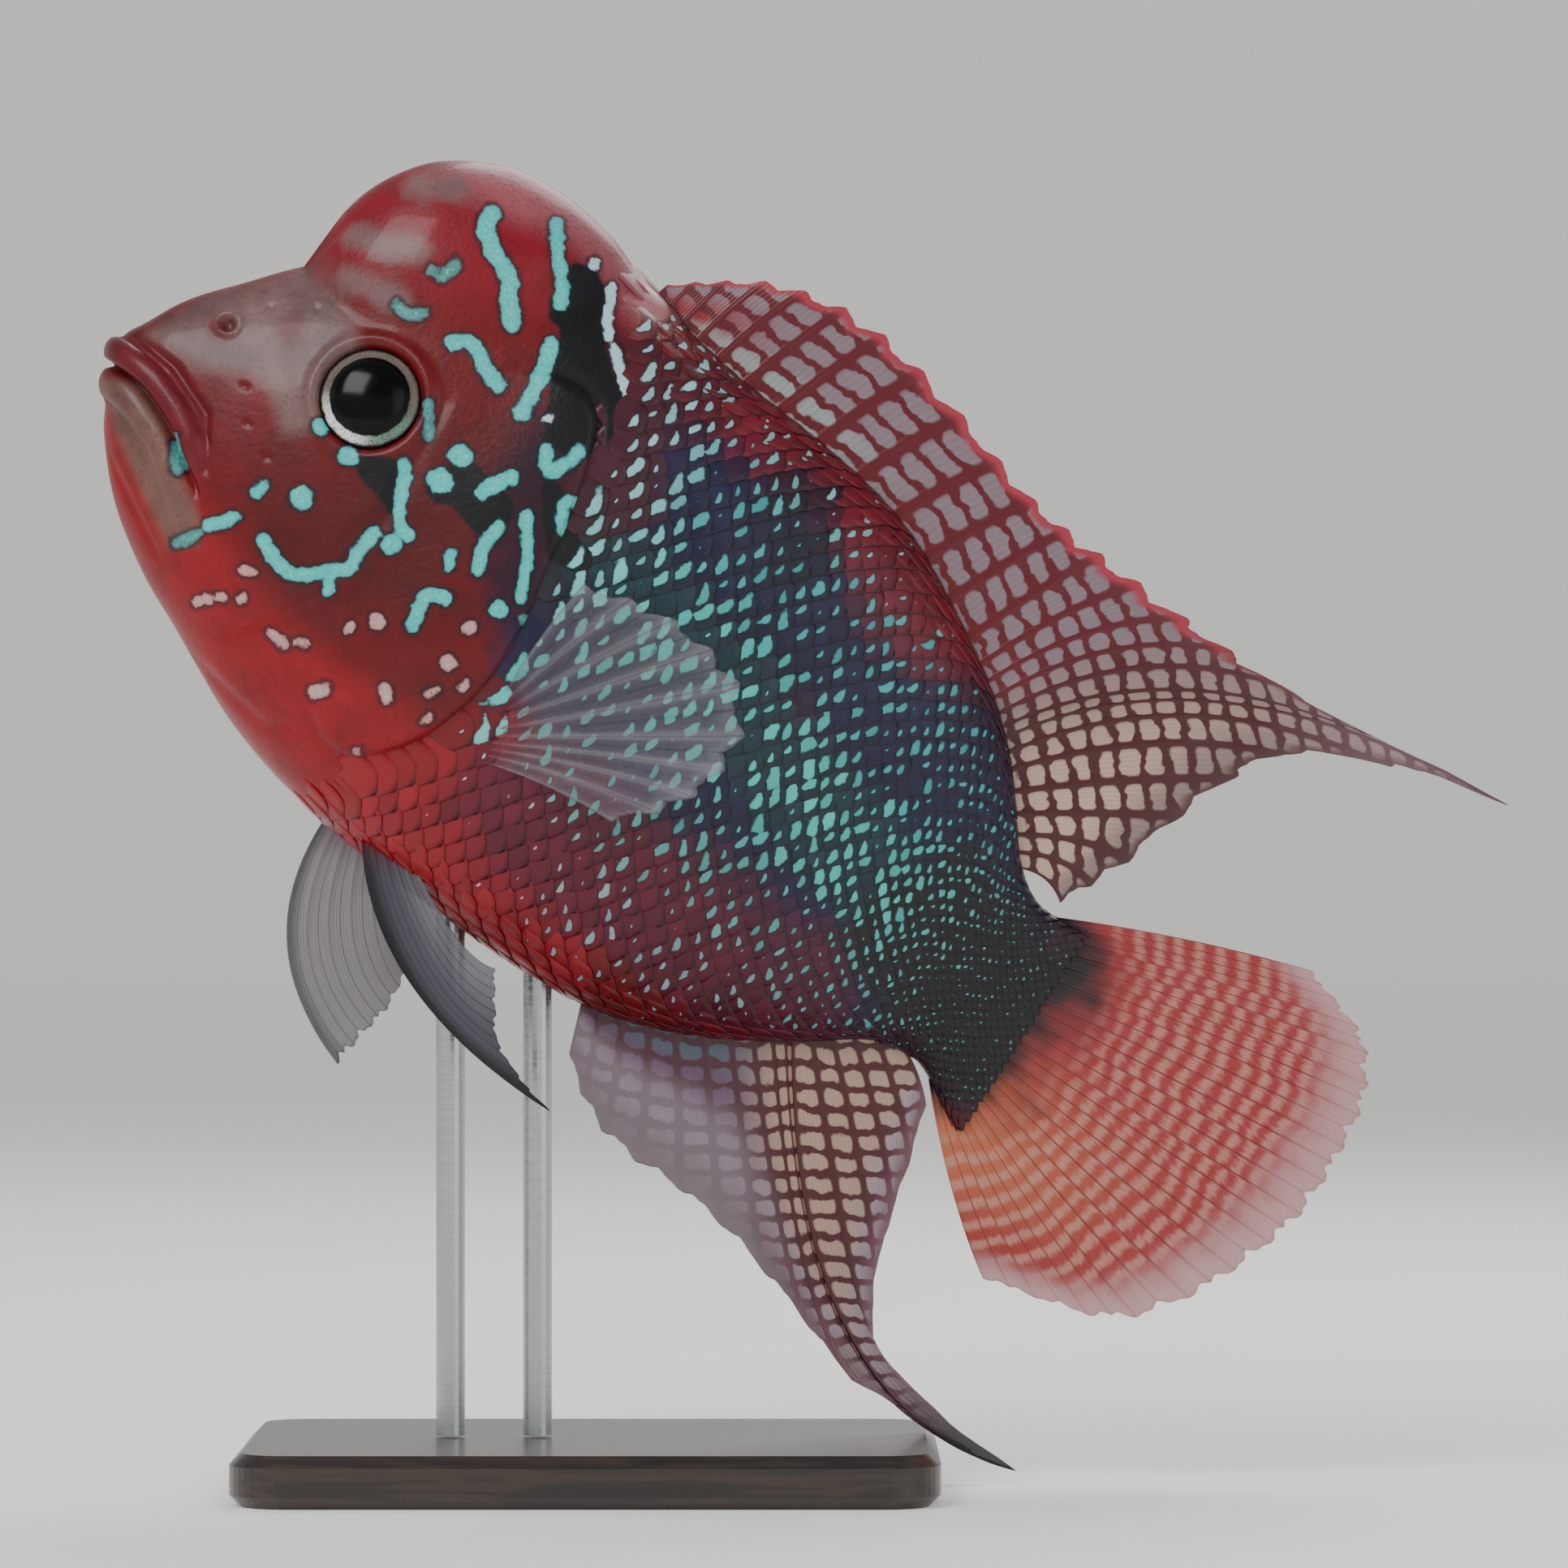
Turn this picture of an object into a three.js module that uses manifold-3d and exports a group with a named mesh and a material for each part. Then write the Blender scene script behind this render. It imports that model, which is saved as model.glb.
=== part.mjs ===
// A life-size flowerhorn cichlid, swimming head up, held by two rods on a flat plinth.
// Millimetres, +Z up. The fish is drawn level in its own frame (x from the upper lip to the tail,
// y to its right side, z up), bent a little sideways at the tail, and then turned head up.
import * as THREE from "three";
import { mergeVertices } from "three/addons/utils/BufferGeometryUtils.js";
import Module from "manifold-3d";

const wasm = await Module();
wasm.setup();

// Driving dimensions
const PITCH = THREE.MathUtils.degToRad(33); // head-up tilt of the whole fish
const GAP = 0.35; // clearance between neighbouring pieces
const BODY_END = 197; // upper lip to the end of the tail root
const BODY_SIDES = 36; // points round a body section
const BEND_START = 125; // where the tail starts to turn to the fish's right
const BEND_AT_END = 7; // sideways shift of the body's end
const CREASE = 5; // softness of the fold where the hump meets the head
const EYE = { x: 43.4, z: 16, radius: 9.9, depth: 6.4, out: 2.8, rim: 1.9, rimOut: 1.1 };
const NOSTRIL = { x: 15.5, z: 13.5, radius: 1.2 };
const GAPE = [[-6, -3.2], [1.8, -3.3], [7.3, -3.6], [15, -6.1], [21.5, -10], [27, -13.8]]; // mouth line to its corner
const JAW_HINGE = [[27, -13.8], [30.5, -22], [36, -48]]; // from the mouth corner to the throat
const LIP = { radius: 2.1, above: 2.4, below: 2.7, sunk: 0.8, sides: 5, steps: 7 };
const GILL_PLATE = { proud: 0.9, thick: 1.8 };
const HUMP_LINE = [[10, 24.2], [20.3, 30.2], [73.6, 57.4], [90, 70]]; // foot of the hump
const GILL_LINE = [[70, 80], [74, 57], [83, 36], [86.4, 14], [88.6, -3], [88.3, -17], [83.8, -31], [72, -48], [66, -70]];
const TRUNK_LINE = [[124, 80], [131, -20], [127, -80]]; // between the two trunk pieces
const TAIL_LINE = [[176, 80], [173, -80]]; // in front of the tail root
const STAND = { top: -188.5, thick: 9, length: 120, depth: 90, centreX: 82, rod: 2.5 };
const ROD_FEET = [58, 73]; // world x of the two rods

// Body profile of the head and trunk without the hump: [x, value]
const BACK = [
  [0, 0.4], [1, 3.3], [2.4, 5.6], [5.7, 12], [13.3, 21.4], [20.2, 29.1], [30, 37], [45, 47], [60, 54], [73, 57],
  [86, 54.6], [98, 53], [110, 52], [122, 50.2], [132, 47.5], [147, 39.8], [159, 32.3], [168, 24.5], [175, 16],
  [181, 8.5], [188, 5.2], [BODY_END, 6.2],
];
const BELLY = [
  [0, -0.4], [1.2, -3.6], [3.2, -7.2], [6.5, -13.3], [14.5, -22.3], [22.3, -28.4], [38, -36.6], [54, -44.2],
  [67, -48], [79, -49.8], [93, -51], [114, -52], [128, -51.5], [142, -48], [155, -42], [167, -34.6], [177, -28.4],
  [184, -28], [190, -31.5], [BODY_END, -35.5],
];
const HALF_WIDTH = [
  [0, 0.5], [1, 4.2], [3, 7.4], [8, 10.6], [14, 12.8], [20, 14.8], [30, 18], [43, 20.8], [60, 23], [80, 24.2],
  [100, 23], [120, 19.6], [140, 15], [160, 10.4], [175, 7], [188, 4.2], [BODY_END, 1.5],
];
const MIDLINE = [[0, 0], [20, 1], [43, 4], [80, 2], [110, 0], [150, -3], [180, -10], [BODY_END, -15]];
// Nuchal hump: an egg round a level axis, [x, half height] and [x, half width]
const HUMP_AXIS = 36;
const HUMP_HEIGHT = [
  [20.4, 0.1], [20.9, 4.5], [22, 9], [24.9, 15], [29.7, 20.7], [35.6, 24.6], [44, 27.3], [52.3, 27.8], [60.8, 26.5],
  [68.6, 23.6], [73.3, 20.6], [80, 14], [88, 0.1],
];
const HUMP_WIDTH = [
  [20.4, 0.1], [20.9, 4.2], [22, 7.4], [24.9, 11], [30, 14.5], [38, 17], [48, 17.8], [58, 16.6], [68, 13], [76, 8],
  [88, 0.1],
];
// Where the body's cross sections stand: [from, to, step]
const STATIONS = [
  [0.35, 3.5, 1.05], [5, 20, 2.5], [20.6, 22.8, 0.7], [23.8, 34, 2.5], [38, 90, 5.2], [97, 185, 7.3], [189, 196, 3.4],
];

// Fins. Each row is one ray: root, middle and tip. The rays of a fin are spread evenly through its rows.
// Median fins give x and z and stand in the middle plane.
const DORSAL_RAYS = [
  [73, 55, 73.6, 57.8, 74.5, 60.5], [79, 53, 80, 59.5, 81.5, 66], [86, 52, 88.5, 62.5, 92, 71.8],
  [97, 51, 100.8, 63, 105.3, 74.1], [112, 50, 116, 61.5, 121, 71.9], [128, 47, 133, 57.3, 138.8, 66.6],
  [142, 40.5, 147.5, 52.5, 153.5, 63], [153, 34, 159.5, 49.5, 166.4, 62.3], [158, 31, 169, 49, 184, 61.2],
  [162, 28, 179, 49.5, 203, 60.6], [165, 25.5, 196, 53.5, 246, 64.8], [168, 22.5, 188, 42.5, 211, 53.5],
  [172, 17.5, 187, 28.5, 201.6, 38.9], [176, 12.5, 186, 17.5, 195, 18.5], [179, 8.5, 184.5, 10, 189.5, 8],
];
const ANAL_RAYS = [
  [128.5, -49, 130.5, -54.5, 132.5, -60], [133, -48.5, 137.5, -58, 140, -66], [139, -47, 146, -59.5, 150, -69.4],
  [145, -45, 155, -59, 162, -69.4], [151, -42, 165, -59.5, 175, -71.7], [156, -39.5, 176, -62.5, 191, -76.6],
  [160, -37, 187, -68.5, 207, -81.2], [162.5, -35.5, 199, -74.5, 237.4, -79], [165, -34, 193, -64.5, 206, -75.5],
  [169, -31.5, 188, -50, 197, -62], [173, -28.5, 186, -39.5, 193.4, -48], [177, -26, 184, -29.5, 189, -34],
];
const CAUDAL_RAYS = [
  [188, 4.5, 211, 14.5, 233, 22], [191, 0.5, 220, 10, 247.5, 17], [192, -5, 224, 1, 254, 5.5],
  [192, -14, 224, -12.5, 255.3, -11], [191.5, -22, 221.5, -26, 250.5, -29], [190, -27.5, 214, -39, 237, -47.8],
  [187, -30, 200.5, -43.5, 214, -54],
];
// Paired fins give x, y and z of root, middle and tip on the fish's left, where y is below zero.
const PECTORAL_LEFT = [
  [90.3, -22, -16, 90, -27, -3.5, 91.5, -33, 9], [90.6, -22, -18, 98, -28, -2, 106, -35, 12.5],
  [91, -21.7, -20, 106, -29, -4.5, 120, -37, 11], [91.3, -21.3, -22, 110.5, -30, -11, 129, -39, -0.5],
  [91.4, -20.8, -24, 109, -29, -17, 126.5, -38.5, -12], [91.4, -20.3, -26, 104.5, -27, -23, 117, -36, -22],
];
const PECTORAL_RIGHT = [
  [90.3, -22, -16, 93, -29, -3.5, 98, -37, 9], [90.6, -22, -18, 101, -30, -3, 111, -39, 10.5],
  [91, -21.7, -20, 108, -31, -7, 123, -41, 5], [91.3, -21.3, -22, 110.5, -31, -14, 129, -42, -6.5],
  [91.4, -20.8, -24, 108, -30, -20, 124.5, -41, -18], [91.4, -20.3, -26, 103, -28, -25, 114, -38, -27],
];
const PELVIC_LEFT = [
  [80, -8, -44, 101, -12, -63.2, 135, -16, -69.3], [82.5, -7.8, -44, 102.5, -12.5, -60, 122, -16, -65],
  [85, -7.6, -44, 103.5, -13, -56.5, 117.5, -16, -59], [88, -7.4, -44, 104, -13, -52.7, 114, -15.5, -54],
];
const PELVIC_RIGHT = [
  [75, -8, -43, 79.3, -14, -69, 99.5, -20, -84.3], [78, -7.8, -43, 84.5, -15, -66, 100.5, -21, -77],
  [81, -7.6, -43, 89.5, -15, -61.5, 101.5, -21, -70], [84, -7.4, -43, 94, -14, -56.5, 100, -20, -62.5],
];
const FIN_RIDGE = 1.3; // thickness over a ray at the root
const FIN_WEB = 0.8; // thickness of the membrane at the root
const FIN_TIP = 0.5; // thickness at the margin

// A smooth curve through control points that never overshoots them, as a function of x.
function curve(points) {
  const n = points.length;
  const slope = [];
  for (let i = 0; i < n - 1; i++) slope.push((points[i + 1][1] - points[i][1]) / (points[i + 1][0] - points[i][0]));
  const tangent = points.map((_, i) => {
    if (i === 0) return slope[0];
    if (i === n - 1) return slope[n - 2];
    const [a, b] = [slope[i - 1], slope[i]];
    return a * b <= 0 ? 0 : (2 * a * b) / (a + b);
  });
  return (x) => {
    if (x <= points[0][0]) return points[0][1];
    if (x >= points[n - 1][0]) return points[n - 1][1];
    let i = 0;
    while (x > points[i + 1][0]) i++;
    const width = points[i + 1][0] - points[i][0];
    const t = (x - points[i][0]) / width;
    const [t2, t3] = [t * t, t * t * t];
    return (
      (2 * t3 - 3 * t2 + 1) * points[i][1] +
      (t3 - 2 * t2 + t) * width * tangent[i] +
      (3 * t2 - 2 * t3) * points[i + 1][1] +
      (t3 - t2) * width * tangent[i + 1]
    );
  };
}

const backAt = curve(BACK);
const bellyAt = curve(BELLY);
const widthAt = curve(HALF_WIDTH);
const midAt = curve(MIDLINE);
const humpHeightAt = curve(HUMP_HEIGHT);
const humpWidthAt = curve(HUMP_WIDTH);

// Sideways shift of the tail, carried on straight past the end of the body.
function bendAt(x) {
  const reach = BODY_END - BEND_START;
  const past = Math.max(0, x - BODY_END);
  const along = Math.max(0, Math.min(x, BODY_END) - BEND_START) / reach;
  return BEND_AT_END * along * along + (2 * BEND_AT_END * past) / reach;
}

// How square a section is: the back is a little peaked and the flanks are full.
const sectionPower = (x) => 2.05 + 0.25 * Math.min(1, x / 60);

// Distance from the section's centre to the skin, in the direction (cos, sin).
function skinRadius(x, cos, sin) {
  const middle = midAt(x);
  const tall = sin > 0 ? backAt(x) - middle : middle - bellyAt(x);
  const power = sectionPower(x);
  const body =
    (Math.abs(cos / widthAt(x)) ** power + Math.abs(sin / Math.max(tall, 0.4)) ** power) ** (-1 / power);
  const [tallHump, wideHump] = [humpHeightAt(x), humpWidthAt(x)];
  if (tallHump < 0.5 || x > 87.5) return body;
  const drop = middle - HUMP_AXIS;
  const a = (cos / wideHump) ** 2 + (sin / tallHump) ** 2;
  const b = (2 * sin * drop) / tallHump ** 2;
  const c = (drop / tallHump) ** 2 - 1;
  const root = b * b - 4 * a * c;
  if (root <= 0) return body;
  const hump = (-b + Math.sqrt(root)) / (2 * a);
  const blend = Math.max(0, 1 - Math.abs(hump - body) / CREASE);
  return Math.max(hump, body) + (blend * blend * CREASE) / 4;
}

// Half width of the head and trunk at a height, without the hump.
function sideAt(x, z) {
  const middle = midAt(x);
  const tall = z > middle ? backAt(x) - middle : middle - bellyAt(x);
  const share = Math.abs(z - middle) / tall;
  const power = sectionPower(x);
  return share >= 1 ? 0 : widthAt(x) * (1 - share ** power) ** (1 / power);
}

function meshOf(positions, triangles) {
  return new THREE.BufferGeometry()
    .setAttribute("position", new THREE.Float32BufferAttribute(positions, 3))
    .setIndex(triangles);
}

function solidOf(geometry) {
  const bare = new THREE.BufferGeometry()
    .setAttribute("position", geometry.getAttribute("position").clone())
    .setIndex(geometry.index);
  const merged = mergeVertices(bare, 1e-4);
  return new wasm.Manifold(
    new wasm.Mesh({
      numProp: 3,
      vertProperties: merged.attributes.position.array,
      triVerts: new Uint32Array(merged.index.array),
    }),
  );
}

const largest = (solid) => solid.decompose().sort((a, b) => b.volume() - a.volume())[0];

// The whole body, grown outwards by a margin.
function bodySolid(margin) {
  const xs = STATIONS.flatMap(([from, to, step]) => {
    const list = [];
    for (let x = from; x <= to + 1e-6; x += step) list.push(x);
    return list;
  });
  const positions = [-margin, 0, 0];
  for (const x of xs)
    for (let j = 0; j < BODY_SIDES; j++) {
      const angle = (2 * Math.PI * j) / BODY_SIDES;
      const [cos, sin] = [Math.cos(angle), Math.sin(angle)];
      const radius = Math.max(skinRadius(x, cos, sin) + margin, 0.2);
      positions.push(x, radius * cos, midAt(x) + radius * sin);
    }
  positions.push(BODY_END + margin, 0, midAt(BODY_END));
  const last = positions.length / 3 - 1;
  const triangles = [];
  const at = (i, j) => 1 + i * BODY_SIDES + (j % BODY_SIDES);
  for (let j = 0; j < BODY_SIDES; j++) {
    triangles.push(0, at(0, j + 1), at(0, j));
    triangles.push(last, at(xs.length - 1, j), at(xs.length - 1, j + 1));
    for (let i = 0; i < xs.length - 1; i++) {
      triangles.push(at(i, j), at(i, j + 1), at(i + 1, j + 1));
      triangles.push(at(i, j), at(i + 1, j + 1), at(i + 1, j));
    }
  }
  return solidOf(meshOf(positions, triangles));
}

// An outline in the side view, pulled from y = near to y = far.
function prism(outline, near, far) {
  const shape = new THREE.Shape(outline.map(([x, z]) => new THREE.Vector2(x, z)));
  const pulled = new THREE.ExtrudeGeometry(shape, { depth: far - near, bevelEnabled: false, curveSegments: 6 });
  pulled.rotateX(Math.PI / 2); // the shape's y becomes z, and the pull runs along -y
  pulled.translate(0, far, 0);
  return solidOf(pulled);
}

// A thin wall through the whole body that follows a line in the side view.
function cutAlong(line, width = GAP) {
  const side = (sign) =>
    line.map(([x, z], i) => {
      const [a, b] = [line[Math.max(0, i - 1)], line[Math.min(line.length - 1, i + 1)]];
      const length = Math.hypot(b[0] - a[0], b[1] - a[1]);
      return [x - (sign * width * (b[1] - a[1])) / length / 2, z + (sign * width * (b[0] - a[0])) / length / 2];
    });
  return prism([...side(1), ...side(-1).reverse()], -60, 60);
}

function ball(x, y, z, rx, ry, rz, across = 28, down = 18) {
  const shape = new THREE.SphereGeometry(1, across, down);
  shape.rotateX(Math.PI / 2);
  shape.scale(rx, ry, rz);
  shape.translate(x, y, z);
  return solidOf(shape);
}

// One lip: a round bead along the mouth line, from one corner round the front to the other.
function lip(shift, radius) {
  const gapeAt = curve(GAPE);
  const corner = GAPE[GAPE.length - 1][0];
  let front = corner;
  while (front > 0.2 && sideAt(front, gapeAt(front) + shift) > 0.8) front -= 0.05;
  const half = [];
  for (let i = 0; i <= LIP.steps; i++) {
    const turn = (i / LIP.steps) * (Math.PI / 2);
    const x = front + (corner - front) * (1 - Math.sin(turn));
    const z = gapeAt(x) + shift * (0.35 + 0.65 * Math.sin(turn) ** 0.5);
    const dive = Math.max(0, 3 - 2 * i); // the bead's end runs into the flesh
    half.push(new THREE.Vector3(x + (LIP.sunk * i) / LIP.steps, -sideAt(x, z) + LIP.sunk + dive, z));
  }
  const centre = new THREE.Vector3(front + LIP.sunk, 0, gapeAt(front) + shift);
  const other = half.map((p) => new THREE.Vector3(p.x, -p.y, p.z)).reverse();
  const path = new THREE.CatmullRomCurve3([...half.slice(0, -1), centre, ...other.slice(1)]);
  const section = new THREE.Shape();
  section.absellipse(0, 0, radius, radius, 0, 2 * Math.PI);
  const bead = new THREE.ExtrudeGeometry(section, {
    extrudePath: path,
    steps: 4 * LIP.steps,
    curveSegments: LIP.sides,
    bevelEnabled: false,
  });
  return solidOf(bead);
}

// A ribbed sheet through rays, each a curve from its root through its middle to its tip, with a ridge on every ray.
function fin(rays, { rows = 7, notch = 0.05, ridge = FIN_RIDGE, web = FIN_WEB, tip = FIN_TIP }) {
  const columns = [];
  rays.forEach((ray, i) => {
    columns.push({ from: ray, to: ray, reach: 1, thick: ridge });
    if (i < rays.length - 1) columns.push({ from: ray, to: rays[i + 1], reach: 1 - notch, thick: web });
  });
  const along = ({ root, middle, tip: end }, v) => {
    const pull = middle.clone().multiplyScalar(2).addScaledVector(root, -0.5).addScaledVector(end, -0.5);
    return new THREE.QuadraticBezierCurve3(root, pull, end).getPoint(v);
  };
  const sheet = columns.map((column) =>
    Array.from({ length: rows + 1 }, (_, r) => {
      const v = (r / rows) * column.reach;
      return along(column.from, v).lerp(along(column.to, v), 0.5);
    }),
  );
  const [across, down] = [sheet.length, rows + 1];
  const positions = [];
  for (const face of [1, -1])
    sheet.forEach((line, c) =>
      line.forEach((point, r) => {
        const before = sheet[Math.max(0, c - 1)][r];
        const after = sheet[Math.min(across - 1, c + 1)][r];
        const inner = line[Math.max(0, r - 1)];
        const outer = line[Math.min(rows, r + 1)];
        const normal = after.clone().sub(before).cross(outer.clone().sub(inner)).normalize();
        const thick = THREE.MathUtils.lerp(columns[c].thick, tip, (r / rows) ** 0.8);
        const spot = point.clone().addScaledVector(normal, (face * thick) / 2);
        positions.push(spot.x, spot.y, spot.z);
      }),
    );
  const at = (face, c, r) => (face > 0 ? 0 : across * down) + c * down + r;
  const triangles = [];
  const quad = (a, b, c, d) => triangles.push(a, b, c, a, c, d);
  for (let c = 0; c < across - 1; c++)
    for (let r = 0; r < rows; r++) {
      quad(at(1, c, r), at(1, c + 1, r), at(1, c + 1, r + 1), at(1, c, r + 1));
      const [a, b, d, e] = [at(-1, c, r), at(-1, c + 1, r), at(-1, c + 1, r + 1), at(-1, c, r + 1)];
      triangles.push(a, d, b, a, e, d);
    }
  for (let c = 0; c < across - 1; c++) {
    quad(at(-1, c, 0), at(-1, c + 1, 0), at(1, c + 1, 0), at(1, c, 0));
    quad(at(1, c, rows), at(1, c + 1, rows), at(-1, c + 1, rows), at(-1, c, rows));
  }
  for (let r = 0; r < rows; r++) {
    quad(at(1, 0, r), at(1, 0, r + 1), at(-1, 0, r + 1), at(-1, 0, r));
    quad(at(-1, across - 1, r), at(-1, across - 1, r + 1), at(1, across - 1, r + 1), at(1, across - 1, r));
  }
  return solidOf(meshOf(positions, triangles));
}

// Rays spread evenly through a table of control rays. The sheet waves a little to and fro across its tips,
// and one ray falls exactly on the table's row named by keep, the one with the long filament.
function spread(table, count, wave = 0, keep = 0) {
  const row = table[0].length === 6 ? ([a, b, c, d, e, f]) => [a, 0, b, c, 0, d, e, 0, f] : (nine) => nine;
  const number = Array.from({ length: 9 }, (_, k) => curve(table.map((line, i) => [i, row(line)[k]])));
  const pitch = (table.length - 1) / (count - 1);
  return Array.from({ length: count }, (_, i) => {
    const u = i === Math.round(keep / pitch) ? keep : i * pitch;
    const [root, middle, tip] = [0, 3, 6].map((k) => new THREE.Vector3(number[k](u), number[k + 1](u), number[k + 2](u)));
    tip.y += wave * Math.sin(i * 0.9);
    return { root, middle, tip };
  });
}

const body = bodySolid(0);
const clear = bodySolid(GAP); // what the fins and rods stay out of

// Eyes, in sockets a little larger than they are
function eyeAt(side, grow, out = EYE.out) {
  const skin = sideAt(EYE.x, EYE.z);
  const slope = new THREE.Vector3(
    (skin - sideAt(EYE.x + 6, EYE.z)) / 6, 1, (skin - sideAt(EYE.x, EYE.z + 6)) / 6,
  ).normalize();
  const shape = new THREE.SphereGeometry(1, 22, 12);
  shape.scale(EYE.radius + grow, EYE.depth + grow, EYE.radius + grow);
  shape.applyQuaternion(new THREE.Quaternion().setFromUnitVectors(new THREE.Vector3(0, 1, 0), slope));
  const centre = slope.clone().multiplyScalar(out - EYE.depth).add(new THREE.Vector3(EYE.x, skin, EYE.z));
  shape.translate(centre.x, centre.y, centre.z);
  const solid = solidOf(shape);
  return side > 0 ? solid : solid.mirror([0, 1, 0]);
}

// Gill covers: plates set into the sides of the head, standing a little proud at the back
const GILL_EDGE = [
  [60, 30], [68, 36], [76.5, 35], [81.5, 24], [84.5, 8], [86.6, -5], [86, -17], [81.5, -29], [73, -37], [64, -34],
  [59.5, -18], [57.5, 4],
];
const gillCentre = [73, 0];
function gillPrism(side, grow) {
  const edge = GILL_EDGE.map(([x, z]) => {
    const away = new THREE.Vector3(x - gillCentre[0], z - gillCentre[1], 0);
    return away.setLength(away.length() + grow).add(new THREE.Vector3(...gillCentre, 0));
  });
  const outline = new THREE.CatmullRomCurve3(edge, true).getPoints(24).slice(0, -1).map((p) => [p.x, p.y]);
  return side < 0 ? prism(outline, -60, -4) : prism(outline, 4, 60);
}
const gillCore = bodySolid(-GILL_PLATE.thick);
const gillBed = bodySolid(-GILL_PLATE.thick - GAP);
const gillSkin = bodySolid(GILL_PLATE.proud);
const gillCover = (side) => largest(gillSkin.intersect(gillPrism(side, 0)).subtract(gillCore));
const gillRecess = (side) => gillPrism(side, GAP).subtract(gillBed);

// The fleshy parts: one body, cut thinly where a person would name its parts
let flesh = body.add(lip(LIP.above, LIP.radius)).add(lip(-LIP.below, LIP.radius + 0.2));
flesh = flesh.add(eyeAt(-1, EYE.rim, EYE.rimOut)).add(eyeAt(1, EYE.rim, EYE.rimOut));
for (const side of [-1, 1]) {
  const nostrilY = side * (sideAt(NOSTRIL.x, NOSTRIL.z) + 0.2);
  flesh = flesh
    .subtract(eyeAt(side, GAP))
    .subtract(gillRecess(side))
    .subtract(ball(NOSTRIL.x, nostrilY, NOSTRIL.z, NOSTRIL.radius, 1.6, NOSTRIL.radius, 10, 8));
}
const JAW_LINE = [...GAPE, ...JAW_HINGE.slice(1)];
for (const line of [HUMP_LINE, JAW_LINE, GILL_LINE, TRUNK_LINE, TAIL_LINE])
  flesh = flesh.subtract(cutAlong(line));

// Names of the pieces that the cuts leave, by a point near the middle of each
const FLESH_NAMES = {
  nuchal_hump: [46, 50], head: [45, 0], jaw_lower: [15, -18], trunk_front: [100, 0], trunk_rear: [150, -5], tail_root: [185, -12],
};
const fleshPieces = flesh.decompose().filter((piece) => piece.volume() > 200);
const centreOf = (piece) => {
  const { min, max } = piece.boundingBox();
  return [(min[0] + max[0]) / 2, (min[2] + max[2]) / 2];
};
const solids = {};
for (const [name, [x, z]] of Object.entries(FLESH_NAMES))
  solids[name] = fleshPieces
    .map((piece) => ({ piece, off: Math.hypot(centreOf(piece)[0] - x, centreOf(piece)[1] - z) }))
    .sort((a, b) => a.off - b.off)[0].piece;

solids.eye_left = eyeAt(-1, 0);
solids.eye_right = eyeAt(1, 0);
solids.gill_cover_left = gillCover(-1);
solids.gill_cover_right = gillCover(1);
const rooted = (solid) => largest(solid.subtract(clear));
solids.fin_dorsal = rooted(fin(spread(DORSAL_RAYS, 26, 1, 10), { rows: 7, notch: 0.07 }));
solids.fin_anal = rooted(fin(spread(ANAL_RAYS, 16, -0.8, 7), { rows: 7, notch: 0.06 }));
solids.fin_caudal = rooted(fin(spread(CAUDAL_RAYS, 16, 0.8), { rows: 6, notch: 0.02, ridge: 1.6, web: 1 }));
const proudClear = bodySolid(GILL_PLATE.proud + GAP);
const gillClear = gillPrism(-1, GAP).intersect(proudClear);
const onLeft = (table, count, options) => largest(fin(spread(table, count), options).subtract(clear).subtract(gillClear));
const thinFin = { rows: 5, notch: 0.04, ridge: 1, web: 0.6 };
const softFin = { rows: 7, notch: 0.02, ridge: 1.1, web: 0.7 };
solids.fin_pectoral_left = onLeft(PECTORAL_LEFT, 10, thinFin);
solids.fin_pectoral_right = onLeft(PECTORAL_RIGHT, 10, thinFin).mirror([0, 1, 0]);
solids.fin_pelvic_left = onLeft(PELVIC_LEFT, 6, softFin);
solids.fin_pelvic_right = onLeft(PELVIC_RIGHT, 6, softFin).mirror([0, 1, 0]);

// The stand is drawn in the world's frame and its rods are turned into the fish's frame to be cut by the belly.
function rod(x) {
  const length = -STAND.top;
  const bar = new THREE.CylinderGeometry(STAND.rod, STAND.rod, length, 20);
  bar.rotateX(Math.PI / 2);
  bar.translate(x, 0, STAND.top + GAP + length / 2);
  bar.rotateY(-PITCH);
  const below = solidOf(bar).subtract(clear).decompose();
  const lowest = below.sort((a, b) => b.boundingBox().max[0] - a.boundingBox().max[0])[0];
  return lowest;
}

function geometryOf(solid) {
  const mesh = solid.getMesh();
  return meshOf(Array.from(mesh.vertProperties), Array.from(mesh.triVerts));
}

const COLOURS = {
  head: 0x9c0f1c, nuchal_hump: 0xa61a26, jaw_lower: 0x93504a, gill_cover: 0x8c0d1a, trunk_front: 0x7a1630,
  trunk_rear: 0x1d3a48, tail_root: 0x23262c, eye: 0x0a0a0c, fin_dorsal: 0xb8606a, fin_anal: 0xa8747a,
  fin_caudal: 0xd8645a, fin_pectoral: 0x9c8f98, fin_pelvic: 0x7b7480, stand: 0x2a2523, stand_rod: 0xb8bcc0,
};
function named(name, geometry) {
  const key = name in COLOURS ? name : name.replace(/_(left|right|front|rear)$/, "");
  const colour = COLOURS[key] ?? COLOURS.stand;
  const metal = key === "stand_rod" ? 1 : 0;
  geometry.computeVertexNormals();
  const mesh = new THREE.Mesh(
    geometry,
    new THREE.MeshStandardMaterial({ color: colour, roughness: metal ? 0.3 : 0.45, metalness: metal }),
  );
  mesh.name = name;
  return mesh;
}

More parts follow.
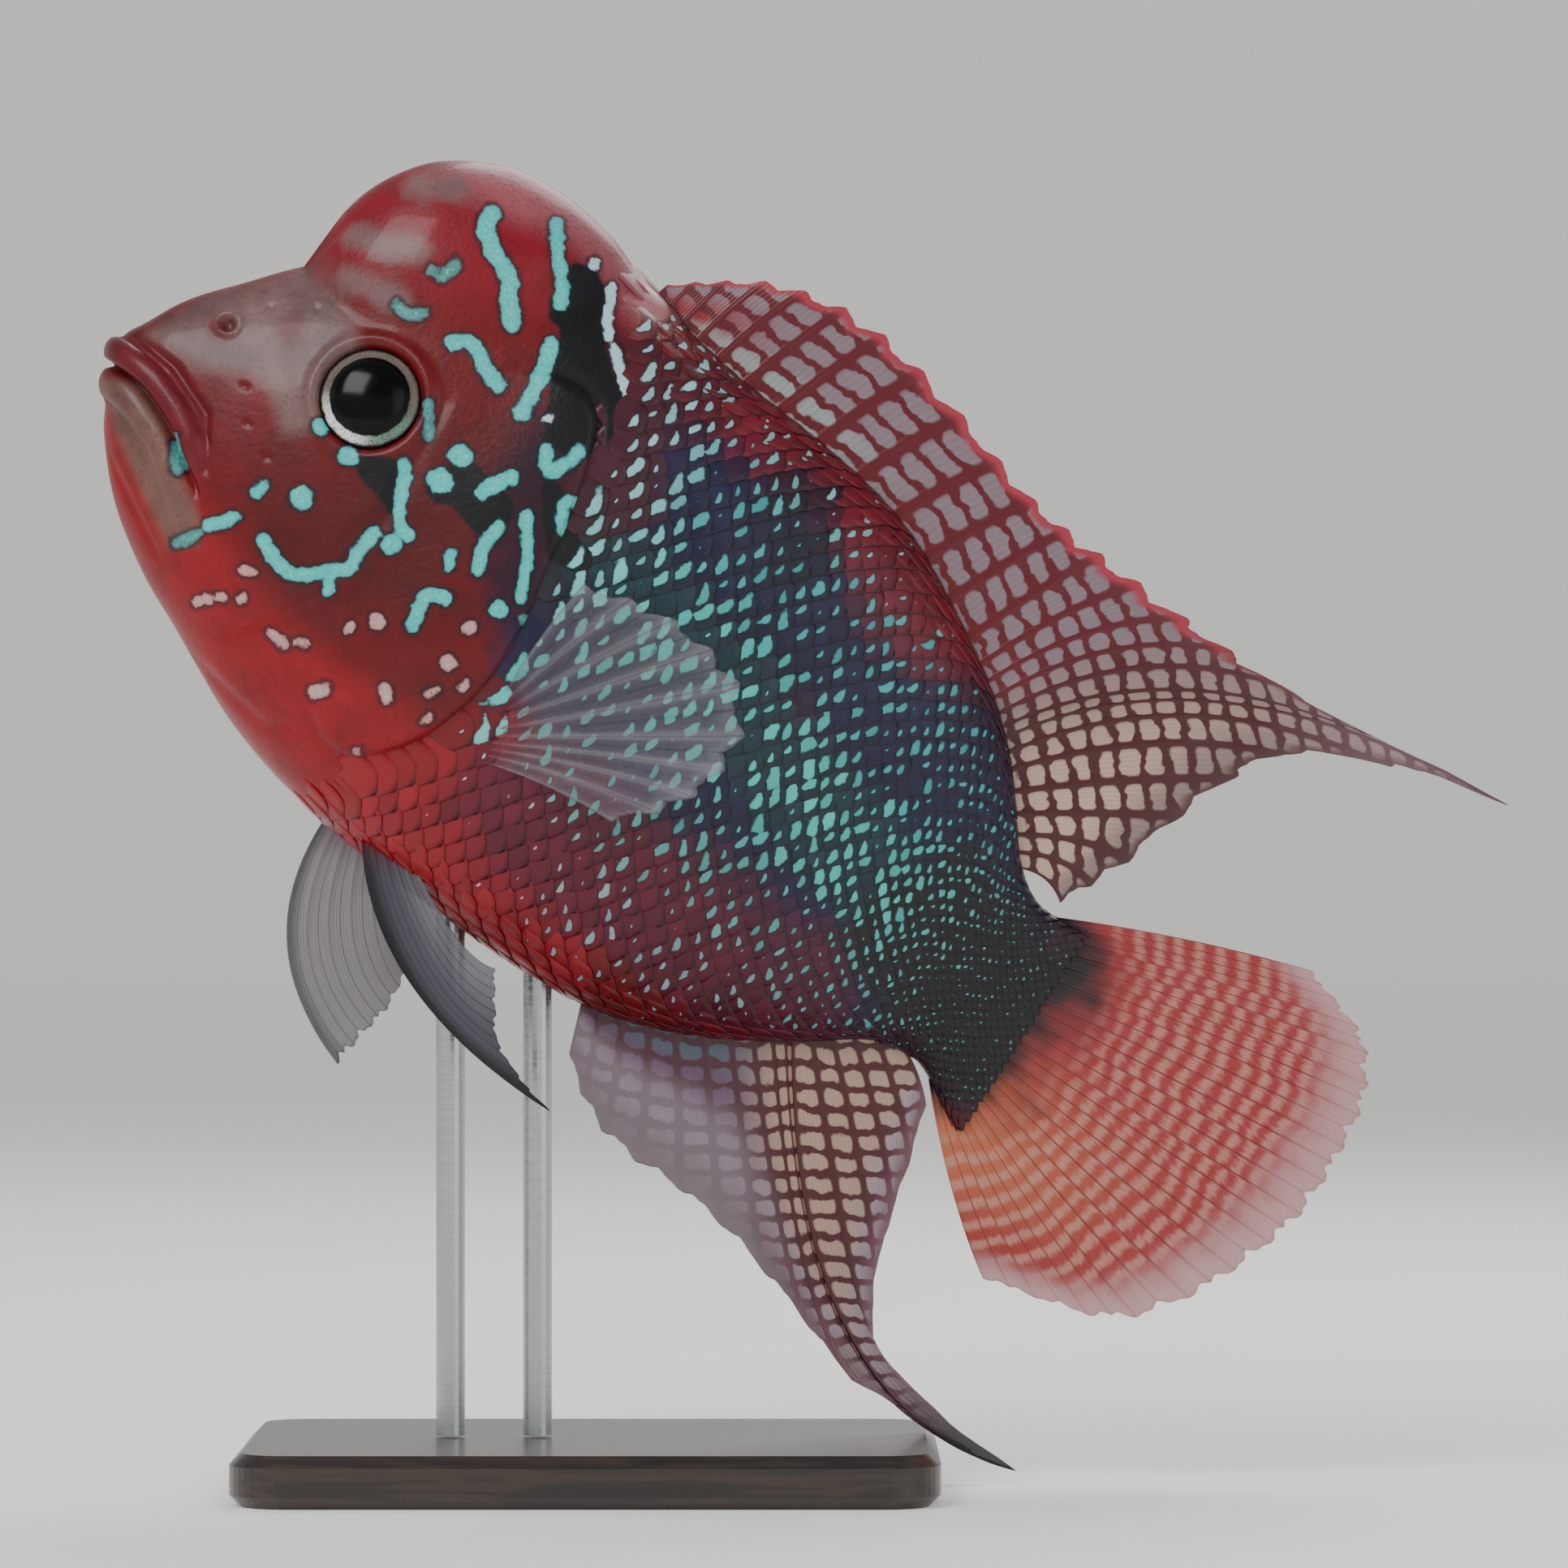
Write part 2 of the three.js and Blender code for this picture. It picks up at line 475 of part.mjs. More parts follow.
const fish = new THREE.Group();
for (const [name, solid] of Object.entries(solids)) {
  const geometry = geometryOf(solid);
  const spots = geometry.getAttribute("position");
  for (let i = 0; i < spots.count; i++) spots.setY(i, spots.getY(i) + bendAt(spots.getX(i)));
  fish.add(named(name, geometry));
}
fish.add(named("stand_rod_front", geometryOf(rod(ROD_FEET[0]))));
fish.add(named("stand_rod_rear", geometryOf(rod(ROD_FEET[1]))));
fish.rotation.y = PITCH;

// Plinth: a slab with rounded corners and a bevelled top edge
function plinth() {
  const [w, d, r] = [STAND.length / 2 - 2, STAND.depth / 2 - 2, 8];
  const shape = new THREE.Shape();
  shape.moveTo(-w + r, -d);
  shape.lineTo(w - r, -d);
  shape.absarc(w - r, -d + r, r, -Math.PI / 2, 0);
  shape.lineTo(w, d - r);
  shape.absarc(w - r, d - r, r, 0, Math.PI / 2);
  shape.lineTo(-w + r, d);
  shape.absarc(-w + r, d - r, r, Math.PI / 2, Math.PI);
  shape.lineTo(-w, -d + r);
  shape.absarc(-w + r, -d + r, r, Math.PI, 1.5 * Math.PI);
  const slab = new THREE.ExtrudeGeometry(shape, {
    depth: STAND.thick - 4, bevelThickness: 2, bevelSize: 2, bevelSegments: 1, curveSegments: 5,
  });
  slab.translate(STAND.centreX, 0, STAND.top - STAND.thick + 2);
  return geometryOf(solidOf(slab));
}

const model = new THREE.Group();
model.add(fish);
model.add(named("stand_base", plinth()));
// The origin is at the bottom centre of the whole.
model.updateMatrixWorld(true);
const box = new THREE.Box3().setFromObject(model, true);
model.position.set(-(box.min.x + box.max.x) / 2, -(box.min.y + box.max.y) / 2, -box.min.z);
export default model;
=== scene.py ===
# A life-size flowerhorn cichlid on two rods above a flat base: its skin, scales, fins, eyes and stand.
# Lengths are millimetres in the fish's own level frame (x from the upper lip to the tail, y to its
# right, z up) until on_stand() turns them head up into the frame of the model, in metres.
import math

import bpy
import numpy as np
from mathutils import Matrix, Vector


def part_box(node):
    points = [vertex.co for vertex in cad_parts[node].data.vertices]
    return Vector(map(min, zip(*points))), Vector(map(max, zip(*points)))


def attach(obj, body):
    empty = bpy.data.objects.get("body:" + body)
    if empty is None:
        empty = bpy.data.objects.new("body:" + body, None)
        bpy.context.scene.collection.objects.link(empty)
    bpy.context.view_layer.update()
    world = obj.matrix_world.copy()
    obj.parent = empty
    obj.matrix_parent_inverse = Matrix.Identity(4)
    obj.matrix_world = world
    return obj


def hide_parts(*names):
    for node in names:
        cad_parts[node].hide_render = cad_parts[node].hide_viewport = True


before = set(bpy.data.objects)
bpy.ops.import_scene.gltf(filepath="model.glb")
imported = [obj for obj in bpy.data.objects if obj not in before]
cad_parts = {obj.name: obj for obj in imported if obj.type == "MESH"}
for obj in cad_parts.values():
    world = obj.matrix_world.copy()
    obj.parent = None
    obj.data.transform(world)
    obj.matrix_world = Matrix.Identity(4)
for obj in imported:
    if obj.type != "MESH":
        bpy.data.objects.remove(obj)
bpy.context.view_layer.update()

# Sizes of the body, the same as the solids have
PITCH = math.radians(33)
BODY_END = 197
BEND_START = 125
BEND_AT_END = 7
CREASE = 5
HUMP_AXIS = 36
BASE_CENTRE_X = 82
BASE_UNDERSIDE = -197.5
BACK = [
    (0, 0.4), (1, 3.3), (2.4, 5.6), (5.7, 12), (13.3, 21.4), (20.2, 29.1), (30, 37), (45, 47), (60, 54),
    (73, 57), (86, 54.6), (98, 53), (110, 52), (122, 50.2), (132, 47.5), (147, 39.8), (159, 32.3),
    (168, 24.5), (175, 16), (181, 8.5), (188, 5.2), (197, 6.2),
]
BELLY = [
    (0, -0.4), (1.2, -3.6), (3.2, -7.2), (6.5, -13.3), (14.5, -22.3), (22.3, -28.4), (38, -36.6),
    (54, -44.2), (67, -48), (79, -49.8), (93, -51), (114, -52), (128, -51.5), (142, -48), (155, -42),
    (167, -34.6), (177, -28.4), (184, -28), (190, -31.5), (197, -35.5),
]
HALF_WIDTH = [
    (0, 0.5), (1, 4.2), (3, 7.4), (8, 10.6), (14, 12.8), (20, 14.8), (30, 18), (43, 20.8), (60, 23),
    (80, 24.2), (100, 23), (120, 19.6), (140, 15), (160, 10.4), (175, 7), (188, 4.2), (197, 1.5),
]
MIDLINE = [(0, 0), (20, 1), (43, 4), (80, 2), (110, 0), (150, -3), (180, -10), (197, -15)]
HUMP_HEIGHT = [
    (20.4, 0.1), (20.9, 4.5), (22, 9), (24.9, 15), (29.7, 20.7), (35.6, 24.6), (44, 27.3), (52.3, 27.8),
    (60.8, 26.5), (68.6, 23.6), (73.3, 20.6), (80, 14), (88, 0.1),
]
HUMP_WIDTH = [
    (20.4, 0.1), (20.9, 4.2), (22, 7.4), (24.9, 11), (30, 14.5), (38, 17), (48, 17.8), (58, 16.6), (68, 13),
    (76, 8), (88, 0.1),
]
GAPE = [(-6, -3.2), (1.8, -3.3), (7.3, -3.6), (15, -6.1), (21.5, -10), (27, -13.8)]
MOUTH_CORNER = 27
LIP_UPPER, LIP_LOWER, LIP_HALF, LIP_RISE = 2.4, 3.0, 2.5, 1.5
EYE_X, EYE_Z, EYE_RADIUS, EYE_DEPTH, EYE_OUT = 43.4, 16, 9.9, 6.4, 2.8
NOSTRIL = (15.5, 13.5)
GILL_EDGE = [
    (60, 30), (68, 36), (76.5, 35), (81.5, 24), (84.5, 8), (86.6, -5), (86, -17), (81.5, -29), (73, -37),
    (64, -34), (59.5, -18), (57.5, 4),
]
GILL_LINE = [
    (70, 80), (74, 57), (83, 36), (86.4, 14), (88.6, -3), (88.3, -17), (83.8, -31), (72, -48), (66, -70),
]
SCALE_DEPTH = 0.4
SKIN_DEPTH = 0.42  # how much darker the wet skin is than its painted bands


# Curves, distances, noise and colour
def smooth(start, end, value):
    """0 before start, 1 after end, with a soft change between; start may be the larger."""
    t = np.clip((value - start) / (end - start), 0, 1)
    return t * t * (3 - 2 * t)


def curve(points):
    """A smooth function through control points that never overshoots them."""
    xs = np.array([p[0] for p in points], float)
    ys = np.array([p[1] for p in points], float)
    slope = np.diff(ys) / np.diff(xs)
    a, b = slope[:-1], slope[1:]
    inner = np.where(a * b <= 0, 0, 2 * a * b / np.where(a + b == 0, 1, a + b))
    tangent = np.concatenate([slope[:1], inner, slope[-1:]])

    def at(x):
        x = np.clip(np.asarray(x, float), xs[0], xs[-1])
        i = np.clip(np.searchsorted(xs, x, side="left") - 1, 0, len(xs) - 2)
        width = xs[i + 1] - xs[i]
        t = (x - xs[i]) / width
        return (
            (2 * t**3 - 3 * t**2 + 1) * ys[i] + (t**3 - 2 * t**2 + t) * width * tangent[i]
            + (3 * t**2 - 2 * t**3) * ys[i + 1] + (t**3 - t**2) * width * tangent[i + 1]
        )

    return at


def to_line(x, z, points, closed=False):
    """Distance from each (x, z) to a line of points."""
    pts = np.array(points + points[:1] if closed else points, float)
    if len(pts) == 1:
        return np.hypot(x - pts[0, 0], z - pts[0, 1])
    best = np.full(np.shape(x), 1e9)
    for (ax, az), (bx, bz) in zip(pts[:-1], pts[1:]):
        dx, dz = bx - ax, bz - az
        t = np.clip(((x - ax) * dx + (z - az) * dz) / (dx * dx + dz * dz), 0, 1)
        best = np.minimum(best, np.hypot(x - ax - t * dx, z - az - t * dz))
    return best


def outside(x, z, outline):
    """Signed distance to a closed outline, below zero inside it."""
    inside = np.zeros(np.shape(x), bool)
    for (ax, az), (bx, bz) in zip(outline, outline[1:] + outline[:1]):
        crosses = (az > z) != (bz > z)
        at = ax + (z - az) * (bx - ax) / (bz - az if bz != az else 1e-9)
        inside ^= crosses & (x < at)
    return to_line(x, z, outline, True) * np.where(inside, -1, 1)


def rounded(points, closed, steps=5):
    """A Catmull-Rom line through the points, so that drawn strokes and patches have no corners."""
    if len(points) < 3:
        return points
    pts = [np.array(p, float) for p in points]
    around = [pts[-1]] + pts + pts[:2] if closed else [2 * pts[0] - pts[1]] + pts + [2 * pts[-1] - pts[-2]]
    line = []
    for a, b, c, d in zip(around, around[1:], around[2:], around[3:]):
        for k in range(steps):
            t = k / steps
            spot = 2 * b + (c - a) * t + (2 * a - 5 * b + 4 * c - d) * t * t + (3 * b - a - 3 * c + d) * t**3
            line.append(tuple(spot / 2))
    return line if closed else line + [tuple(pts[-1])]


def lattice(ix, iy, iz, seed):
    """A fixed value from -1 to 1 for every whole-numbered place."""
    h = (ix * 374761393 + iy * 668265263 + iz * 1274126177 + seed * 974634777) & 0xFFFFFFFF
    h = ((h ^ (h >> 13)) * 1103515245) & 0xFFFFFFFF
    h ^= h >> 16
    return (h & 0xFFFF) / 32767.5 - 1


def mottle(p, size, seed):
    """Smooth noise from -1 to 1 whose blotches are about size across."""
    q = np.asarray(p, float) / size
    cell = np.floor(q).astype(np.int64)
    t = q - cell
    t = t * t * (3 - 2 * t)
    total = 0
    for i in (0, 1):
        for j in (0, 1):
            for k in (0, 1):
                share = (t[..., 0] if i else 1 - t[..., 0]) * (t[..., 1] if j else 1 - t[..., 1])
                share = share * (t[..., 2] if k else 1 - t[..., 2])
                total = total + share * lattice(cell[..., 0] + i, cell[..., 1] + j, cell[..., 2] + k, seed)
    return total


def linear(code):
    """An sRGB hex colour as linear red, green and blue."""
    srgb = np.array([int(code[i : i + 2], 16) / 255 for i in (1, 3, 5)])
    return np.where(srgb <= 0.04045, srgb / 12.92, ((srgb + 0.055) / 1.055) ** 2.4)


def paint(colours, weight, code):
    """Lays a colour over the others, by its weight from 0 to 1."""
    weight = np.clip(weight, 0, 1)[..., None]
    return colours * (1 - weight) + linear(code) * weight


# The body's shape
back_at, belly_at, width_at, mid_at = curve(BACK), curve(BELLY), curve(HALF_WIDTH), curve(MIDLINE)
hump_height_at, hump_width_at, gape_at = curve(HUMP_HEIGHT), curve(HUMP_WIDTH), curve(GAPE)


def section_power(x):
    """How square a section is: 2 is an ellipse."""
    return 2.05 + 0.25 * np.minimum(1, x / 60)


def skin_radius(x, cos, sin):
    """Distance from a section's centre to the skin, with the hump blended in."""
    middle = mid_at(x)
    tall = np.maximum(np.where(sin > 0, back_at(x) - middle, middle - belly_at(x)), 0.4)
    power = section_power(x)
    body = (np.abs(cos / width_at(x)) ** power + np.abs(sin / tall) ** power) ** (-1 / power)
    tall_hump, wide_hump = hump_height_at(x), hump_width_at(x)
    drop = middle - HUMP_AXIS
    a = (cos / wide_hump) ** 2 + (sin / tall_hump) ** 2
    b = 2 * sin * drop / tall_hump**2
    root = b * b - 4 * a * ((drop / tall_hump) ** 2 - 1)
    used = (tall_hump >= 0.5) & (x <= 87.5) & (root > 0)
    hump = (-b + np.sqrt(np.where(used, root, 0))) / (2 * a)
    blend = np.maximum(0, 1 - np.abs(hump - body) / CREASE)
    return np.where(used, np.maximum(hump, body) + blend**2 * CREASE / 4, body)


def side_at(x, z):
    """Half width of the head and trunk at a height, without the hump."""
    middle = mid_at(x)
    tall = np.where(z > middle, back_at(x) - middle, middle - belly_at(x))
    share = np.minimum(np.abs(z - middle) / tall, 1)
    power = section_power(x)
    return width_at(x) * (1 - share**power) ** (1 / power)


base_low, base_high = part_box("stand_base")
SHIFT = np.array([
    (base_low.x + base_high.x) * 500 - BASE_CENTRE_X, (base_low.y + base_high.y) * 500,
    base_low.z * 1000 - BASE_UNDERSIDE,
])


def on_stand(p):
    """From the fish's level frame in millimetres to the model's frame in metres, tail bend and all."""
    p = np.asarray(p, float)
    x, y, z = p[..., 0], p[..., 1], p[..., 2]
    reach = BODY_END - BEND_START
    along = np.clip((x - BEND_START) / reach, 0, 1)
    y = y + BEND_AT_END * along**2 + 2 * BEND_AT_END * np.maximum(0, x - BODY_END) / reach
    turned = [x * math.cos(PITCH) + z * math.sin(PITCH), y, -x * math.sin(PITCH) + z * math.cos(PITCH)]
    return (np.stack(turned, -1) + SHIFT) / 1000


# Where the photographed left side shows things, as picture points turned into the fish's frame
MM_PER_PIXEL = 0.14
LIP_PIXEL_X, LIP_PIXEL_Y = 141, 424
PICTURE_CENTRE_X, PICTURE_CENTRE_Z = 115.5, -75.9
NEARER = 0.987


def from_photo(spots):
    """Picture points on the near flank, in the fish's frame."""
    placed = []
    for px, py in spots:
        across = PICTURE_CENTRE_X + (MM_PER_PIXEL * (px - LIP_PIXEL_X) - PICTURE_CENTRE_X) * NEARER
        up = PICTURE_CENTRE_Z + (-MM_PER_PIXEL * (py - LIP_PIXEL_Y) - PICTURE_CENTRE_Z) * NEARER
        placed.append((
            across * math.cos(PITCH) - up * math.sin(PITCH), across * math.sin(PITCH) + up * math.cos(PITCH),
        ))
    return placed


# Markings. Strokes: picture points, width in mm, and whether bright, dim or pale.
STROKES_IN_PICTURE = [
    ([(604, 260), (597, 277), (609, 311), (626, 340), (626, 369), (631, 398)], 3.0, "bright"),
    ([(684, 272), (686, 311), (692, 345), (689, 374)], 2.2, "bright"),
    ([(488, 374), (502, 386), (522, 386)], 2.0, "dim"),
    ([(531, 333), (543, 340), (558, 330), (558, 321)], 1.9, "dim"),
    ([(558, 422), (580, 422), (597, 451), (614, 476)], 2.6, "bright"),
    ([(679, 425), (665, 466), (643, 510)], 2.7, "bright"),
    ([(397, 527)], 3.0, "bright"), ([(430, 563)], 3.4, "bright"),
    ([(529, 500), (529, 539)], 1.7, "dim"),
    ([(568, 563)], 4.0, "bright"), ([(543, 594)], 4.4, "bright"),
    ([(594, 609), (614, 597), (631, 590)], 2.7, "bright"),
    ([(674, 558), (677, 582), (699, 573), (713, 558)], 2.2, "bright"),
    ([(694, 655), (694, 626), (706, 619), (723, 626)], 2.0, "bright"),
    ([(500, 573), (495, 616), (493, 645), (505, 660)], 2.2, "bright"),
    ([(483, 672)], 3.4, "bright"),
    (
        [(323, 665), (338, 689), (357, 706), (386, 708), (410, 703), (430, 701), (444, 679), (461, 657)],
        2.3, "bright",
    ),
    ([(405, 708), (405, 728)], 2.0, "bright"),
    ([(316, 607), (325, 598)], 1.9, "bright"), ([(371, 614)], 3.8, "bright"),
    ([(216, 539), (219, 577)], 1.8, "dim"), ([(255, 648), (289, 638)], 2.0, "bright"),
    ([(214, 667), (241, 657)], 1.9, "dim"),
    ([(616, 650), (599, 674), (590, 703)], 2.3, "bright"),
    ([(650, 636), (650, 689), (643, 737)], 2.0, "bright"),
    ([(557, 684), (555, 699)], 1.6, "bright"),
    ([(551, 737), (527, 737), (510, 771)], 2.4, "bright"),
    ([(614, 752)], 3.0, "bright"), ([(648, 766)], 2.4, "dim"), ([(580, 774)], 2.4, "pale"),
    ([(466, 766)], 2.8, "pale"), ([(434, 771), (430, 777)], 1.4, "pale"),
    ([(333, 781), (350, 793)], 1.9, "pale"), ([(364, 791), (376, 793)], 1.3, "pale"),
    ([(299, 700), (313, 706)], 1.5, "pale"), ([(296, 737)], 2.2, "pale"),
    ([(238, 740), (272, 735)], 1.6, "pale"), ([(553, 817)], 2.8, "pale"),
    ([(386, 854), (401, 849)], 2.4, "pale"), ([(479, 859), (477, 850)], 2.2, "pale"),
    ([(531, 854), (541, 849)], 1.3, "pale"), ([(524, 888), (531, 882)], 1.3, "pale"),
    ([(570, 849), (576, 843)], 1.3, "pale"), ([(442, 925)], 1.6, "pale"), ([(429, 943)], 1.6, "pale"),
    ([(752, 350), (749, 384), (749, 413)], 1.6, "white"),
    ([(757, 427), (766, 466), (774, 490)], 1.6, "white"),
    ([(793, 466)], 2.4, "white"), ([(730, 321)], 2.2, "white"), ([(677, 519)], 1.9, "white"),
]
STROKE_COLOURS = {"bright": "#2fb4b0", "dim": "#3f7f7c", "pale": "#b88886", "white": "#a8ccd6"}
BLACK_IN_PICTURE = {
    "nape": [
        (699, 325), (735, 330), (752, 374), (745, 408), (754, 451), (771, 490), (769, 519), (745, 548),
        (706, 568), (672, 548), (670, 519), (682, 451), (689, 408), (677, 393), (677, 374), (696, 354),
    ],
    "gill": [(672, 592), (696, 607), (730, 645), (725, 689), (686, 703), (672, 665)],
    "cheek": [(531, 582), (585, 577), (628, 616), (628, 645), (590, 660), (565, 631), (531, 616)],
    "under_eye": [(434, 568), (497, 573), (488, 640), (459, 607)],
}
SNOUT_IN_PICTURE = [
    (182, 408), (260, 364), (371, 330), (410, 374), (439, 408), (434, 451), (410, 490), (391, 529),
    (352, 529), (328, 481), (304, 451), (260, 442), (221, 422),
]
JAW_IN_PICTURE = [
    (129, 466), (163, 471), (197, 519), (226, 597), (245, 645), (241, 670), (207, 674), (173, 607),
    (144, 539), (129, 500),
]
LIP_IN_PICTURE = [
    (141, 422), (173, 413), (221, 451), (250, 495), (260, 558), (250, 592), (231, 563), (207, 519),
    (173, 476), (144, 451),
]
HUMP_STRIPES_IN_PICTURE = [
    ([(410, 335), (449, 350), (488, 369)], 3.4), ([(430, 287), (468, 301), (517, 306)], 3.4),
    ([(512, 224), (556, 228)], 4),
]
HUMP_RIM_IN_PICTURE = [(575, 214), (633, 248), (725, 277), (779, 325), (798, 374)]
SNOUT_BLOTCHES_IN_PICTURE = [(267, 401), (357, 405)]
# Colour bands of head and trunk in the fish's frame: line, half width, softness, weight, colour
BANDS = [
    ([(20, 45), (60, 58)], 10, 12, 0.9, "#b00828"),
    ([(10, -22), (40, -34), (75, -42)], 10, 9, 0.9, "#cc0420"),
    ([(100, 20), (150, 4), (175, -8)], 26, 10, 1, "#54123c"),
    ([(95, 30), (130, 27), (160, 12), (178, -4)], 9, 7, 0.9, "#0a1850"),
    ([(94, -6), (125, -12), (165, -20)], 6, 6, 0.85, "#10205a"),
    ([(93, 14), (121, 6), (137, 1), (165, -7)], 6, 5, 0.9, "#114c58"),
    ([(88, 50), (120, 46), (146, 34)], 4, 7, 0.85, "#981430"),
    ([(112, 42), (118, 34)], 4, 5, 0.8, "#0d1434"),
    ([(80, 44), (86, 26)], 6, 6, 0.8, "#6a1c30"),
    ([(70, -42), (98, -42), (112, -45)], 12, 9, 0.95, "#cc0424"),
    ([(104, -28), (135, -30), (155, -30)], 8, 9, 0.8, "#7c1240"),
    ([(176, -8), (200, -15)], 11, 9, 0.95, "#16181e"),
]


def ground_colour(p):
    """Skin colour under the strokes, patches and pearls, with painted shade darkening the cheek."""
    x, z = p[..., 0], p[..., 2]
    slow = mottle(p, 9, 1)
    fine = mottle(p, 2.2, 2)
    colours = np.broadcast_to(linear("#900010"), p.shape).copy()
    for line, half, soft, weight, code in BANDS:
        distance = to_line(x, z, line) + 2.5 * slow + fine
        colours = paint(colours, weight * smooth(half + soft, half, distance), code)
    rim = to_line(x, z, from_photo(HUMP_RIM_IN_PICTURE)) + 2 * slow
    colours = paint(colours, 0.55 * smooth(7, 1, rim) * (x < 95), "#e08a94")
    snout = outside(x, z, from_photo(SNOUT_IN_PICTURE)) + slow
    colours = paint(colours, 0.9 * smooth(2.5, -1.5, snout), "#a07c7a")
    for line, width in HUMP_STRIPES_IN_PICTURE:
        stripe = to_line(x, z, from_photo(line)) + fine
        colours = paint(colours, 0.9 * smooth(width, width / 4, stripe), "#a87c7e")
    for spot in SNOUT_BLOTCHES_IN_PICTURE:
        colours = paint(colours, 0.7 * smooth(4, 1, to_line(x, z, from_photo([spot])) + fine), "#96202a")
    jaw = outside(x, z, from_photo(JAW_IN_PICTURE)) + 0.5 * slow
    colours = paint(colours, 0.9 * smooth(1.5, -1, jaw), "#9c7468")
    colours = paint(colours, 0.9 * smooth(1, -0.8, outside(x, z, from_photo(LIP_IN_PICTURE))), "#96102c")
    # Painted shade: the skin round the cheek and the gill cover is made up to 35% darker.
    cheek = smooth(22, 6, to_line(x, z, [(52, -10), (70, 10)]) + 3 * slow)
    return colours * (SKIN_DEPTH * (1 - 0.35 * cheek) * (1 + 0.22 * slow + 0.16 * fine))[..., None]


def strokes_at(p):
    """Signed distance to the nearest stroke, below zero on it, and its colour."""
    x, z = p[..., 0], p[..., 2]
    best, colours = np.full(x.shape, 30.0), np.zeros(p.shape)
    for line, width, kind in STROKES_IN_PICTURE:
        distance = to_line(x, z, rounded(from_photo(line), False)) - width / 2
        nearer = distance < best
        best = np.where(nearer, distance, best)
        colours[nearer] = linear(STROKE_COLOURS[kind])
    return best, colours


def black_at(p):
    """Signed distance to the nearest black patch, below zero inside it."""
    x, z = p[..., 0], p[..., 2]
    patches = [outside(x, z, rounded(from_photo(line), True)) for line in BLACK_IN_PICTURE.values()]
    return np.minimum.reduce(patches) + 0.7 * mottle(p, 2.5, 3)


def on_other_side(p):
    """The right flank carries the same marks, a little shifted, as no fish is quite symmetrical."""
    moved = p.copy()
    right = p[..., 1] > 0
    moved[..., 0] = np.where(right, p[..., 0] + 1.6 * np.sin(p[..., 2] / 9), p[..., 0])
    moved[..., 2] = np.where(right, p[..., 2] + 1.4 * np.sin(p[..., 0] / 11), p[..., 2])
    return moved


# The skin: one surface from lip to tail root, with the lips, eye rims, nostrils and gill covers raised in it
def bead(t):
    """The rounded swell of a lip, for t from -1 to 1 across it."""
    return np.maximum(0, 1 - t * t) ** 0.75


CHEEK_FOLDS = [
    ([(3.2, 3.3), (11.8, 2.3), (20.8, -1.5), (26, -9.5)], 0.8, 0.7),
    ([(8, -15.5), (17.2, -20.9), (26.4, -26.3)], 0.7, 0.4),
    ([(54, 22), (57, 2), (53, -18), (44, -31)], 1.6, 0.5),
    ([(66, -36), (58, -41), (40, -38)], 1.0, 0.5),
]
PORES = [(24, 6), (28, 1), (34, -2), (41, -3), (20, 20), (27, 24), (14, -9), (22, -15), (31, -19), (41, -23)]


def relief(p):
    """How far the skin stands out from the plain body, along its normal."""
    x, y, z = p[..., 0], p[..., 1], p[..., 2]
    flank = smooth(3, 8, np.abs(y))
    slant = gape_at(np.maximum(x, 1.8)) - gape_at(np.maximum(x, 1.8) - 0.5)
    from_mouth = (z - gape_at(np.maximum(x, 1.8))) / np.hypot(1, slant / 0.5)
    mouth = smooth(MOUTH_CORNER + 1, MOUTH_CORNER - 6, x)
    out = LIP_RISE * mouth * bead((from_mouth - LIP_UPPER) / LIP_HALF)
    out = out + LIP_RISE * mouth * bead((from_mouth + LIP_LOWER) / LIP_HALF)
    out = out - 1.7 * smooth(MOUTH_CORNER + 2, MOUTH_CORNER - 2, x) * np.exp(-((from_mouth / 0.5) ** 2))
    for line, width, depth in CHEEK_FOLDS:
        out = out - depth * flank * np.exp(-((to_line(x, z, line) / width) ** 2))
    from_eye = np.hypot(x - EYE_X, z - EYE_Z)
    out = out + flank * 1.0 * np.exp(-(((from_eye - 10.2) / 1.2) ** 2))
    out = out - flank * 5.5 * smooth(8.9, 7.6, from_eye)
    from_nostril = np.hypot(x - NOSTRIL[0], z - NOSTRIL[1])
    nostril_rim = 0.5 * np.exp(-(((from_nostril - 1.9) / 0.6) ** 2))
    out = out + flank * (nostril_rim - 1.3 * smooth(1.5, 0.7, from_nostril))
    for spot in PORES:
        out = out - 0.5 * flank * np.exp(-((np.hypot(x - spot[0], z - spot[1]) / 0.55) ** 2))
    gill = -outside(x, z, rounded(GILL_EDGE, True))
    plate = smooth(58, 74, x) * flank
    out = out + plate * (0.95 * smooth(-0.2, 0.6, gill) - 0.6 * np.exp(-(((gill + 0.9) / 0.7) ** 2)))
    behind = smooth(0, 3, -outside_gill_line(x, z))
    out = out - SCALE_DEPTH * behind
    return out + 0.12 * mottle(p, 7, 4) * (1 - behind)


def outside_gill_line(x, z):
    """Below zero behind the line where the head meets the trunk."""
    line = sorted(GILL_LINE, key=lambda spot: spot[1])
    return curve([(spot[1], spot[0]) for spot in line])(z) - x


def mesh_piece(name, points, faces):
    """A plain mesh object at the origin, from points already in the model's frame."""
    mesh = bpy.data.meshes.new(name)
    mesh.from_pydata(np.asarray(points).tolist(), [], [list(map(int, f)) for f in faces])
    mesh.polygons.foreach_set("use_smooth", [True] * len(mesh.polygons))
    mesh.update()
    piece = bpy.data.objects.new(name, mesh)
    bpy.context.scene.collection.objects.link(piece)
    return piece


def store(piece, name, values):
    """Keeps a number or a colour at every point of the piece."""
    values = np.asarray(values, np.float32)
    kind, key = ("FLOAT_VECTOR", "vector") if values.ndim == 2 else ("FLOAT", "value")
    piece.data.attributes.new(name, kind, "POINT").data.foreach_set(key, values.ravel())


